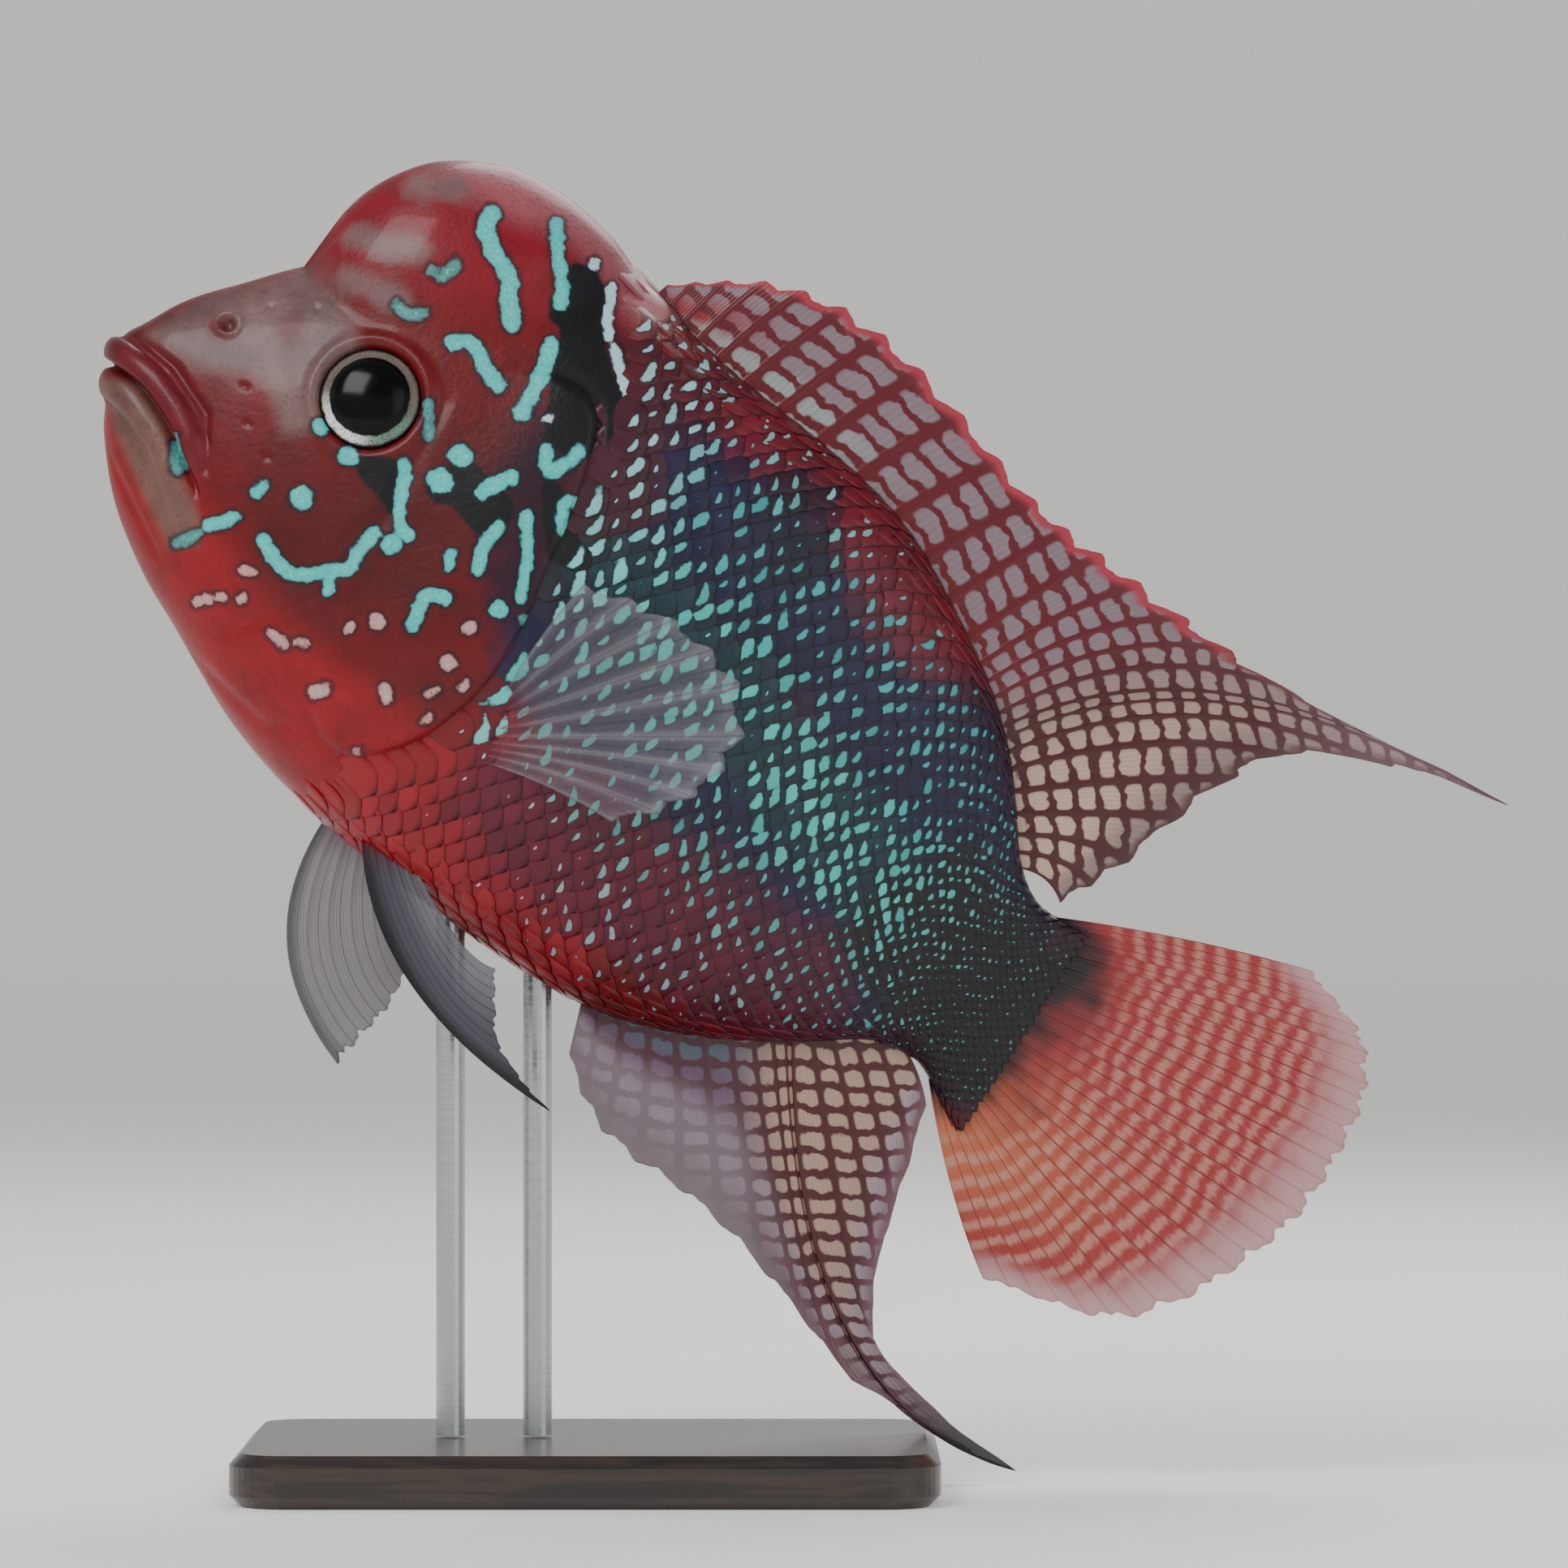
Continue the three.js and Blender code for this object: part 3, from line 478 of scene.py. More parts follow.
def tube_faces(rings, around):
    """Outward faces of a closed tube: point 0, then rings of points, then one last point."""
    at = 1 + np.arange(rings * around).reshape(rings, around)
    nxt = np.roll(at, -1, 1)
    quads = np.stack([at[:-1], nxt[:-1], nxt[1:], at[1:]], -1).reshape(-1, 4).tolist()
    front = [[0, b, a] for a, b in zip(at[0], nxt[0])]
    end = rings * around + 1
    back = [[end, a, b] for a, b in zip(at[-1], nxt[-1])]
    return quads + front + back


SKIN_AROUND = 320
SKIN_STATIONS = np.concatenate([
    3 * (np.arange(1, 15) / 14) ** 2, np.arange(3.6, 90, 0.6), np.arange(90.6, 196.8, 1.3),
])


def bare_skin(x, angle):
    """The plain body's surface at a station and an angle."""
    cos, sin = np.cos(angle), np.sin(angle)
    radius = skin_radius(x, cos, sin)
    return np.stack([x + 0 * radius, radius * cos, mid_at(x) + radius * sin], -1)


def skin_normal(x, angle):
    """Outward normal of the plain body."""
    along = bare_skin(np.minimum(x + 0.25, BODY_END), angle) - bare_skin(np.maximum(x - 0.25, 0.002), angle)
    across = bare_skin(x, angle + 0.01) - bare_skin(x, angle - 0.01)
    normal = np.cross(across, along)
    normal /= np.maximum(np.linalg.norm(normal, axis=-1, keepdims=True), 1e-9)
    centre = np.stack([x + 0 * angle, 0 * angle + 0 * x, mid_at(x) + 0 * angle], -1)
    away = np.sum(normal * (bare_skin(x, angle) - centre), -1, keepdims=True)
    return normal * np.where(away < 0, -1, 1)


def make_skin():
    """The whole skin with its relief, and what its finish reads at each point."""
    x, angle = np.meshgrid(SKIN_STATIONS, np.arange(SKIN_AROUND) * 2 * math.pi / SKIN_AROUND, indexing="ij")
    bare = bare_skin(x, angle)
    tip = np.zeros(3)
    shaped = (bare + skin_normal(x, angle) * relief(bare)[..., None]).reshape(-1, 3)
    nose = tip - np.array([1, 0, 0]) * relief(tip[None])[0]
    end = np.array([BODY_END, 0, mid_at(BODY_END)])
    plain = np.concatenate([tip[None], bare.reshape(-1, 3), end[None]])
    points = np.concatenate([nose[None], shaped, end[None]])
    skin = mesh_piece("skin", on_stand(points), tube_faces(len(SKIN_STATIONS), SKIN_AROUND))
    marked = on_other_side(plain)
    store(skin, "ground", ground_colour(marked))
    stroke, colour = strokes_at(marked)
    store(skin, "stroke", stroke)
    store(skin, "stroke_colour", colour)
    store(skin, "black", black_at(marked))
    return skin


# Materials. Names for the kinds of node that the finishes use, and for their settings and sockets
MM = 0.001
PER_MM = 1000
MATH, STEP, MIX, NOISE = "ShaderNodeMath", "ShaderNodeMapRange", "ShaderNodeMix", "ShaderNodeTexNoise"
STORED, SPLIT, BUMP = "ShaderNodeAttribute", "ShaderNodeSeparateXYZ", "ShaderNodeBump"
ADD, SUBTRACT, TIMES, DIVIDE, TIMES_ADD, POWER, PINGPONG, SINE, SQUARE_ROOT = [
    {"operation": name}
    for name in ("ADD", "SUBTRACT", "MULTIPLY", "DIVIDE", "MULTIPLY_ADD", "POWER", "PINGPONG", "SINE", "SQRT")
]
SOFT = {"interpolation_type": "SMOOTHSTEP"}
COLOURS = {"data_type": "RGBA"}
FACTOR, UNDER, OVER, MIXED = 0, 6, 7, 2


def node(tree, kind, settings=None, inputs=(), output=0, to=None):
    """Adds a node with its settings and links, and gives back one output, or with None the node itself.

    An input is a socket to link, a hex colour or a plain value, by the input's name or in their own order.
    """
    made = tree.nodes.new(kind)
    for key, value in (settings or {}).items():
        setattr(made, key, value)
    for key, value in inputs.items() if isinstance(inputs, dict) else enumerate(inputs):
        if isinstance(value, bpy.types.NodeSocket):
            tree.links.new(value, made.inputs[key])
        elif isinstance(value, str) and value.startswith("#"):
            made.inputs[key].default_value = rgba(value)
        else:
            made.inputs[key].default_value = value
    if to:
        tree.links.new(made.outputs[output], to)
    return made if output is None else made.outputs[output]


def rgba(code):
    return (*linear(code), 1.0)


def new_material(name, roughness, ior=1.45, coat=0.0, metallic=0.0):
    made = bpy.data.materials.new(name)
    made.use_nodes = True
    shader = made.node_tree.nodes["Principled BSDF"]
    shader.inputs["Roughness"].default_value = roughness
    shader.inputs["Metallic"].default_value = metallic
    if not metallic:
        shader.inputs["IOR"].default_value = ior
    shader.inputs["Coat Weight"].default_value = coat
    shader.inputs["Coat Roughness"].default_value = 0.12
    return made, made.node_tree, shader


def marked_colour(tree, ground, place):
    """The ground colour with its black patches and outlined strokes laid over it."""
    fine = node(tree, NOISE, {}, {"Vector": place, "Scale": 0.9 * PER_MM})
    ragged = node(tree, MATH, TIMES_ADD, [fine, 0.9, -0.45])
    broad = node(tree, NOISE, {}, {"Vector": place, "Scale": 0.4 * PER_MM})
    swell = node(tree, MATH, TIMES_ADD, [broad, 1.6, -0.8])
    uneven = node(tree, MATH, TIMES_ADD, [ragged, 0.9, swell])
    black = node(tree, MATH, ADD, [node(tree, STORED, {"attribute_name": "black"}, output="Fac"), ragged])
    stroke = node(tree, MATH, ADD, [node(tree, STORED, {"attribute_name": "stroke"}, output="Fac"), uneven])
    own = node(tree, STORED, {"attribute_name": "stroke_colour"}, output="Color")
    in_black = node(tree, STEP, SOFT, [black, 0.6, -0.4])
    with_black = node(tree, MIX, COLOURS, {FACTOR: in_black, UNDER: ground, OVER: "#020207"}, MIXED)
    near_stroke = node(tree, STEP, SOFT, [stroke, 1.1, 0.2, 0, 0.7])
    outlined = node(tree, MIX, COLOURS, {FACTOR: near_stroke, UNDER: with_black, OVER: "#120a18"}, MIXED)
    sparkle = node(tree, NOISE, {}, {"Vector": place, "Scale": 1.6 * PER_MM})
    glints = node(tree, STEP, SOFT, [sparkle, 0.35, 0.7])
    shine = node(tree, MIX, COLOURS, {FACTOR: glints, UNDER: own, OVER: "#7fd8cc"}, MIXED)
    mid_stroke = node(tree, STEP, SOFT, [stroke, -0.1, -0.9, 0, 0.55])
    bright = node(tree, MIX, COLOURS, {FACTOR: mid_stroke, UNDER: own, OVER: shine}, MIXED)
    in_stroke = node(tree, STEP, SOFT, [stroke, 0.25, -0.25])
    return node(tree, MIX, COLOURS, {FACTOR: in_stroke, UNDER: outlined, OVER: bright}, MIXED)


def wet_skin():
    """Living fish skin under slime: a deep colour below a thin wet film, with fine freckles."""
    made, tree, shader = new_material("wet scaleless fish skin", 0.46, ior=1.36, coat=0.14)
    place = node(tree, "ShaderNodeTexCoord", output="Object")
    ground = node(tree, STORED, {"attribute_name": "ground"}, output="Color")
    spots = node(tree, NOISE, {}, {"Vector": place, "Scale": 1.4 * PER_MM, "Detail": 3})
    freckles = node(tree, STEP, SOFT, [spots, 0.56, 0.7, 0, 0.35])
    darker = {"data_type": "RGBA", "blend_type": "MULTIPLY"}
    freckled = node(tree, MIX, darker, {FACTOR: freckles, UNDER: ground, OVER: "#8a5a58"}, MIXED)
    tree.links.new(marked_colour(tree, freckled, place), shader.inputs["Base Color"])
    shader.inputs["Subsurface Weight"].default_value = 0.08
    shader.inputs["Subsurface Radius"].default_value = (1.2 * MM, 0.4 * MM, 0.3 * MM)
    dimples = node(tree, NOISE, {}, {"Vector": place, "Scale": 0.9 * PER_MM, "Detail": 4})
    relief_inputs = {"Height": dimples, "Strength": 0.5, "Distance": 0.25 * MM}
    node(tree, BUMP, {}, relief_inputs, "Normal", shader.inputs["Normal"])
    return made


# Stage, light and camera, in metres and watts; the sensor is in millimetres
PICTURE_PIXELS = 1932
SENSOR_WIDTH = 36
CAMERA_DISTANCE = 1.5
BOWL_FLAT, BOWL_CURVE, BOWL_WALL = 4.5, 1.2, 2.6
BOWL_AROUND = 64
PAPER_GLOW = 0.36
SKY_STRENGTH = 0.42
LAMPS = (
    ("key_light", (-0.55, -0.75, 0.95), 0.6, 10),
    ("fill_light", (0.9, -0.9, 0.45), 1.0, 3),
    ("back_light", (0.25, 0.7, 0.9), 0.7, 8),
)


def bowl_of_paper():
    """A wide shallow bowl of paper, so that every view has the same pale ground behind it."""
    profile = [(r, 0) for r in (0.6, 1.5, 3, BOWL_FLAT)]
    for a in np.linspace(0.1, math.pi / 2, 12):
        profile.append((BOWL_FLAT + BOWL_CURVE * math.sin(a), BOWL_CURVE * (1 - math.cos(a))))
    profile.append((BOWL_FLAT + BOWL_CURVE, BOWL_WALL))
    turns = np.arange(BOWL_AROUND) * 2 * math.pi / BOWL_AROUND
    points = [(r * math.cos(t), r * math.sin(t), z) for r, z in profile for t in turns]
    at = np.arange(len(points)).reshape(len(profile), BOWL_AROUND)
    nxt = np.roll(at, -1, 1)
    faces = np.stack([at[1:], nxt[1:], nxt[:-1], at[:-1]], -1).reshape(-1, 4).tolist() + [at[0].tolist()]
    return mesh_piece("studio_floor", points, faces)


def backdrop_paper():
    """Matt uncoated paper: a faint tone, no sheen, and a little glow so that no corner goes dark."""
    made, tree, shader = new_material("pale backdrop paper", 0.9)
    place = node(tree, "ShaderNodeTexCoord", output="Object")
    tone = node(tree, NOISE, {}, {"Vector": place, "Scale": 0.02 * PER_MM})
    paler = {FACTOR: tone, UNDER: "#dfdedb", OVER: "#e4e3e0"}
    node(tree, MIX, COLOURS, paler, MIXED, shader.inputs["Base Color"])
    shader.inputs["Emission Color"].default_value = rgba("#e4e3e0")
    shader.inputs["Emission Strength"].default_value = PAPER_GLOW
    return made


def stage_and_camera():
    across, up = PICTURE_CENTRE_X, PICTURE_CENTRE_Z
    centre = on_stand([
        across * math.cos(PITCH) - up * math.sin(PITCH), 0, across * math.sin(PITCH) + up * math.cos(PITCH),
    ])
    floor = bowl_of_paper()
    floor.data.materials.append(backdrop_paper())
    camera_data = bpy.data.cameras.new("camera")
    camera_data.sensor_width = SENSOR_WIDTH
    camera_data.lens = SENSOR_WIDTH * CAMERA_DISTANCE / (MM_PER_PIXEL * PICTURE_PIXELS * MM)
    camera = bpy.data.objects.new("camera", camera_data)
    camera.location = (centre[0], centre[1] - CAMERA_DISTANCE, centre[2])
    camera.rotation_euler = (math.pi / 2, 0, 0)
    bpy.context.scene.collection.objects.link(camera)
    bpy.context.scene.camera = camera
    for name, place, size, watts in LAMPS:
        lamp = bpy.data.lights.new(name, "AREA")
        lamp.energy = watts
        lamp.size = size
        made = bpy.data.objects.new(name, lamp)
        made.location = Vector(place) + Vector((centre[0], 0, 0))
        aim = Vector((centre[0], 0, centre[2])) - made.location
        made.rotation_euler = aim.to_track_quat("-Z", "Y").to_euler()
        bpy.context.scene.collection.objects.link(made)
    world = bpy.data.worlds.new("studio")
    world.use_nodes = True
    world.node_tree.nodes["Background"].inputs["Color"].default_value = rgba("#e8ecf0")
    world.node_tree.nodes["Background"].inputs["Strength"].default_value = SKY_STRENGTH
    bpy.context.scene.world = world


# Scales: one thin solid plate, repeated over the skin behind the gill line by geometry nodes
SCALE_ROWS = 42
SCALE_PITCH = 4.7
SCALE_THICK = 0.22
SCALE_DOME = 0.3
PATCH_ON_SKIN = 0.003
ROOTS_AHEAD = 6.5  # the first scales come out from under the gill cover
# Pearl spots: line in the fish's frame, half width, size, share of scales that carry one, colour
PEARL_ZONES = [
    ([(93, 14), (121, 6), (137, 1), (165, -7)], 10, 1.35, 1, "#3fc0b4"),
    ([(88, -12), (100, 4)], 8, 1.15, 1, "#46b8b0"),
    ([(84, 48), (90, 10)], 9, 0.95, 1, "#8cc4cc"),
    ([(104, 32), (140, 22), (166, 4)], 12, 0.85, 0.9, "#2f989c"),
    ([(98, 50), (140, 42)], 6, 0.6, 0.6, "#7fb4b0"),
    ([(112, -18), (168, -22)], 9, 0.75, 0.95, "#479a96"),
    ([(118, -38), (150, -38)], 8, 0.6, 0.85, "#8098a0"),
    ([(74, -42), (100, -42)], 12, 0.3, 0.12, "#d8b0b8"),
    ([(180, -8), (197, -15)], 12, 0.4, 0.55, "#4f9c96"),
]


def scale_form():
    """The plate lies along x from its root at 0 to its free edge at 1; its height is in metres."""
    rows, columns = 9, 7
    points, lay, faces = [], [], []
    for under in (0, 1):
        for u in np.linspace(0, 1, rows):
            half = 0.5 * (1 - abs((u - 0.43) / 0.585) ** 3.2) ** 0.5
            for v in np.linspace(-1, 1, columns):
                rise = SCALE_DOME * (1 - v * v) * math.sin(math.pi * min(1, u * 0.75 + 0.2)) + SCALE_THICK
                pulled = u - 0.07 * v * v * u
                points.append((pulled, v * half, 0 if under else rise / 1000))
                lay.append((u, v, 0))
    at = lambda under, r, c: under * rows * columns + r * columns + c
    for r in range(rows - 1):
        for c in range(columns - 1):
            faces.append((at(0, r, c), at(0, r + 1, c), at(0, r + 1, c + 1), at(0, r, c + 1)))
    ring = [(0, c) for c in range(columns)] + [(r, columns - 1) for r in range(1, rows)]
    ring += [(rows - 1, c) for c in range(columns - 2, -1, -1)] + [(r, 0) for r in range(rows - 2, 0, -1)]
    for a, b in zip(ring, ring[1:] + ring[:1]):
        faces.append((at(0, *a), at(0, *b), at(1, *b), at(1, *a)))
    faces.append([at(1, *a) for a in ring])
    used = sorted({i for face in faces for i in face})
    new = {old: i for i, old in enumerate(used)}
    form = mesh_piece("scale_form", [points[i] for i in used], [[new[i] for i in face] for face in faces])
    store(form, "lay", [lay[i] for i in used])
    store(form, "on_patch", [(lay[i][0], lay[i][1] / 2, 0) for i in used])
    form.hide_render = True
    return form


def half_girth(x, side, samples=240):
    """Angles down one flank from the back to the belly, and the length along the skin to each."""
    angle = math.pi / 2 + side * np.linspace(0, math.pi, samples)
    points = bare_skin(np.full(samples, float(x)), angle)
    steps = np.linalg.norm(np.diff(points, axis=0), axis=1)
    return angle, np.concatenate([[0], np.cumsum(steps)])


def scale_places(side, start, end):
    """Root place, frame and sizes of the scales on one flank, from start to end along the fish."""
    made = []
    widest = half_girth(95, side)[1][-1]
    x, column = 60.0, 0
    while x < end:
        angle, along = half_girth(x, side)
        share = along[-1] / widest
        pitch = SCALE_PITCH * share**0.75
        length = 1.85 * pitch
        angle_tip, along_tip = half_girth(min(x + length, BODY_END), side)
        if x < start:
            x, column = x + pitch / 2, column + 1
            continue
        for row in range(SCALE_ROWS // 2):
            part = (row + 0.25 + 0.5 * (column % 2)) / (SCALE_ROWS // 2)
            turn = np.interp(part * along[-1], along, angle)
            turn_tip = np.interp(part * along_tip[-1], along_tip, angle_tip)
            root = bare_skin(np.array([x]), np.array([turn]))[0]
            if outside_gill_line(root[0], root[2]) > ROOTS_AHEAD:
                continue
            tip_x = np.array([min(x + length, BODY_END)])
            out = skin_normal(np.array([x]), np.array([turn]))[0]
            out_tip = skin_normal(tip_x, np.array([turn_tip]))[0]
            tip = bare_skin(tip_x, np.array([turn_tip]))[0] + 0.12 * out_tip
            width = 2.6 * along[-1] / SCALE_ROWS
            made.append((root - (SCALE_DEPTH + 0.25) * out, tip, out, width, (x / 200, part)))
        x += pitch / 2
        column += 1
    return made


def scale_cloud(side, start, end, seed):
    """One point at the root of each scale, with what the geometry nodes and the finish read."""
    places = scale_places(side, start, end)
    root = on_stand([p[0] for p in places])
    tip = on_stand([p[1] for p in places])
    outward = on_stand([p[0] + p[2] for p in places]) - root
    out_side = np.stack([tip - root, outward], 1)
    turns, sizes = [], []
    random = np.random.default_rng(seed)
    for (lie, out), place in zip(out_side, places):
        length = np.linalg.norm(lie)
        ahead = lie / length
        across = np.cross(out, ahead)
        across /= np.linalg.norm(across)
        turn = Matrix(np.stack([ahead, across, np.cross(ahead, across)], 1).tolist()).to_quaternion()
        turns.append(tuple(turn))
        sizes.append((length * random.uniform(0.97, 1.04), place[3] / 1000, random.uniform(0.85, 1.1)))
    shown = np.array([p[0] * 0.35 + p[1] * 0.65 for p in places])
    marked = on_other_side(shown)
    colour = ground_colour(marked) * random.uniform(0.8, 1.15, len(places))[:, None]
    black = smooth(0.6, -0.6, black_at(marked))
    colour = colour * (1 - black)[:, None] + linear("#020207") * black[:, None]
    x, z = marked[:, 0], marked[:, 2]
    size, pearl, total = np.zeros(len(x)), np.zeros((len(x), 3)), np.full(len(x), 1e-6)
    for line, half, amount, share, code in PEARL_ZONES:
        weight = np.exp(-((to_line(x, z, line) / half) ** 2))
        present = random.random(len(x)) < share
        size += weight * amount * present
        pearl += weight[:, None] * linear(code)
        total += weight
    spread = random.uniform(0.55, 1.3, len(x))
    kept = smooth(-1.2, 0.4, random.normal(0, 0.6, len(x)))
    size = size / np.maximum(total, 0.25) * spread * kept
    cloud = mesh_piece("scale_roots", root, [])
    turn_of_each = cloud.data.attributes.new("turn", "QUATERNION", "POINT")
    turn_of_each.data.foreach_set("value", np.array(turns, np.float32).ravel())
    store(cloud, "size", sizes)
    store(cloud, "ground", colour)
    store(cloud, "pearl_size", size)
    store(cloud, "pearl_colour", pearl / total[:, None] * random.uniform(0.75, 1.1, (len(x), 1)))
    store(cloud, "own", random.random(len(x)))
    # Each flank has its own half of the unwrapped skin: across it from back to belly, along it to the tail
    store(cloud, "root_patch", [(p[4][0], (p[4][1] + (side > 0)) / 2, 0) for p in places])
    return cloud


def coat_tree():
    """Geometry nodes: a scale on every point, with its own small patch on the unwrapped skin."""
    tree = bpy.data.node_groups.new("coat of scales", "GeometryNodeTree")
    sockets = (
        ("Geometry", "INPUT", "Geometry"), ("Scale form", "INPUT", "Object"), ("Finish", "INPUT", "Material"),
        ("Patch size", "INPUT", "Float"), ("Geometry", "OUTPUT", "Geometry"),
    )
    for name, way, kind in sockets:
        tree.interface.new_socket(name, in_out=way, socket_type="NodeSocket" + kind)
    given = node(tree, "NodeGroupInput", output=None).outputs
    form = node(tree, "GeometryNodeObjectInfo", {}, {"Object": given["Scale form"]}, "Geometry")
    turn, size, on_patch, root_patch = [
        node(tree, "GeometryNodeInputNamedAttribute", {"data_type": kind}, {"Name": name}, "Attribute")
        for name, kind in (
            ("turn", "QUATERNION"), ("size", "FLOAT_VECTOR"), ("on_patch", "FLOAT_VECTOR"),
            ("root_patch", "FLOAT_VECTOR"),
        )
    ]
    placing = {"Points": given["Geometry"], "Instance": form, "Rotation": turn, "Scale": size}
    placed = node(tree, "GeometryNodeInstanceOnPoints", {}, placing, "Instances")
    solid = node(tree, "GeometryNodeRealizeInstances", {}, [placed], "Geometry")
    small = {"Vector": on_patch, "Scale": given["Patch size"]}
    small = node(tree, "ShaderNodeVectorMath", {"operation": "SCALE"}, small, "Vector")
    patch = node(tree, "ShaderNodeVectorMath", {"operation": "ADD"}, [small, root_patch], "Vector")
    corners = {"data_type": "FLOAT2", "domain": "CORNER"}
    unwrapped = {"Geometry": solid, "Name": "OFBake", "Value": patch}
    mapped = node(tree, "GeometryNodeStoreNamedAttribute", corners, unwrapped, "Geometry")
    finish = {"Geometry": mapped, "Material": given["Finish"]}
    finished = node(tree, "GeometryNodeSetMaterial", {}, finish, "Geometry")
    node(tree, "NodeGroupOutput", {}, [finished], None)
    return tree


def baked_mesh(name, source):
    """The evaluated source as one plain mesh object; the source is removed."""
    bpy.context.view_layer.update()
    evaluated = source.evaluated_get(bpy.context.evaluated_depsgraph_get())
    mesh = bpy.data.meshes.new_from_object(evaluated)
    mesh.name = name
    piece = bpy.data.objects.new(name, mesh)
    bpy.context.scene.collection.objects.link(piece)
    source.modifiers.clear()
    bpy.data.objects.remove(source)
    return piece


def wet_scale():
    """A fish scale: coloured skin seen through a thin clear plate with growth rings and a pearl patch."""
    made, tree, shader = new_material("wet pearled fish scale", 0.4, ior=1.38, coat=0.2)
    place = node(tree, "ShaderNodeTexCoord", output="Object")
    lay_vector = node(tree, STORED, {"attribute_name": "lay"}, output="Vector")
    lay = node(tree, SPLIT, {}, [lay_vector], None).outputs
    size = node(tree, STORED, {"attribute_name": "pearl_size"}, output="Fac")
    own = node(tree, MATH, SUBTRACT, [node(tree, STORED, {"attribute_name": "own"}, output="Fac"), 0.5])
    ground = node(tree, STORED, {"attribute_name": "ground"}, output="Color")
    own_pearl = node(tree, STORED, {"attribute_name": "pearl_colour"}, output="Color")
    # How far each spot is from the middle of the pearl, in half pearls, along the scale and across it
    middle = node(tree, MATH, TIMES_ADD, [own, 0.1, 0.72])
    slant = node(tree, MATH, TIMES, [lay["Y"], own])
    slanted = node(tree, MATH, TIMES_ADD, [slant, 0.28, lay["X"]])
    ahead = node(tree, MATH, SUBTRACT, [slanted, middle])
    along = node(tree, MATH, DIVIDE, [ahead, node(tree, MATH, TIMES, [size, 0.1])])
    aside = node(tree, MATH, TIMES_ADD, [own, 0.35, lay["Y"]])
    across = node(tree, MATH, DIVIDE, [aside, node(tree, MATH, TIMES, [size, 0.6])])
    across_squared = node(tree, MATH, TIMES, [across, across])
    bent = node(tree, MATH, TIMES_ADD, [across_squared, 0.45, along])
    squares = node(tree, MATH, TIMES_ADD, [bent, bent, across_squared])
    frayed = node(tree, NOISE, {}, {"Vector": place, "Scale": 0.6 * PER_MM, "Detail": 3})
    ripple = node(tree, MATH, TIMES_ADD, [frayed, 1.5, -0.75])
    reach = node(tree, MATH, ADD, [node(tree, MATH, SQUARE_ROOT, [squares]), ripple])
    has_pearl = node(tree, STEP, SOFT, [size, 0.08, 0.2])
    pearl = node(tree, MATH, TIMES, [node(tree, STEP, SOFT, [reach, 1.1, 0.75]), has_pearl])
    has_halo = node(tree, STEP, SOFT, [size, 0.1, 0.3, 0, 0.5])
    halo = node(tree, MATH, TIMES, [node(tree, STEP, SOFT, [reach, 1.9, 1.1]), has_halo])
    edge = node(tree, STEP, SOFT, [lay["X"], 0.8, 1.0, 0, 0.55])
    shaded = node(tree, MIX, COLOURS, {FACTOR: edge, UNDER: ground, OVER: "#0a0610"}, MIXED)
    ringed = node(tree, MIX, COLOURS, {FACTOR: halo, UNDER: shaded, OVER: "#07101c"}, MIXED)
    pearled = {FACTOR: pearl, UNDER: ringed, OVER: own_pearl}
    node(tree, MIX, COLOURS, pearled, MIXED, shader.inputs["Base Color"])
    round_rings = {"wave_type": "RINGS", "rings_direction": "SPHERICAL"}
    rings = node(tree, "ShaderNodeTexWave", round_rings, {"Vector": lay_vector, "Scale": 5.5}, "Fac")
    relief_inputs = {"Height": rings, "Strength": 0.5, "Distance": 0.05 * MM}
    node(tree, BUMP, {}, relief_inputs, "Normal", shader.inputs["Normal"])
    return made


# Eyes: a lathe round the eye's own axis, with a domed pupil, a silver iris and a dark rim
PUPIL_RADIUS, IRIS_RADIUS = 6.9, 8.3
EYE_GLINT, EYE_GREEN = 4.9, 3.6  # where the iris is bright and where green, in radians round the eye


def make_eye(name, side):
    """One eyeball, turned out square to the cheek; side is -1 on the left and 1 on the right."""
    here = side_at(EYE_X, EYE_Z)
    slope = np.array([(here - side_at(EYE_X + 6, EYE_Z)) / 6, 1, (here - side_at(EYE_X, EYE_Z + 6)) / 6])
    slope /= np.linalg.norm(slope)
    centre = np.array([EYE_X, here, EYE_Z]) + slope * (EYE_OUT - EYE_DEPTH)
    first = np.cross([0, 0, 1], slope)
    first /= np.linalg.norm(first)
    second = np.cross(slope, first)
    rings, around = 56, 96
    points, reach, turn = [], [], []
    for t in np.linspace(0, math.pi, rings + 2):
        radius = EYE_RADIUS * math.sin(t)
        height = EYE_DEPTH * math.cos(t)
        if t < math.pi / 2:
            height += 0.35 * float(smooth(PUPIL_RADIUS + 0.2, PUPIL_RADIUS - 1.6, radius))
            height -= 0.3 * math.exp(-(((radius - 7.3) / 0.7) ** 2))
        spots = range(around) if 0 < t < math.pi - 1e-9 else range(1)
        for k in spots:
            angle = 2 * math.pi * k / around
            spot = centre + slope * height + radius * (first * math.cos(angle) + second * math.sin(angle))
            points.append((spot[0], spot[1] * side, spot[2]))
            reach.append(radius if t < math.pi / 2 else 20)
            turn.append(angle)
    faces = tube_faces(rings, around)
    if side > 0:
        faces = [face[::-1] for face in faces]
    eye = mesh_piece(name, on_stand(points), faces)
    turn, reach = np.array(turn), np.array(reach)
    iris = np.broadcast_to(linear("#6a625c"), (len(turn), 3)).copy()
    iris = paint(iris, 0.9 * smooth(1.1, 0.3, np.abs(np.angle(np.exp(1j * (turn - EYE_GLINT))))), "#f2f2ee")
    iris = paint(iris, 0.7 * smooth(0.9, 0.2, np.abs(np.angle(np.exp(1j * (turn - EYE_GREEN))))), "#5f9a84")
    store(eye, "iris", iris)
    store(eye, "reach", reach)
    return eye


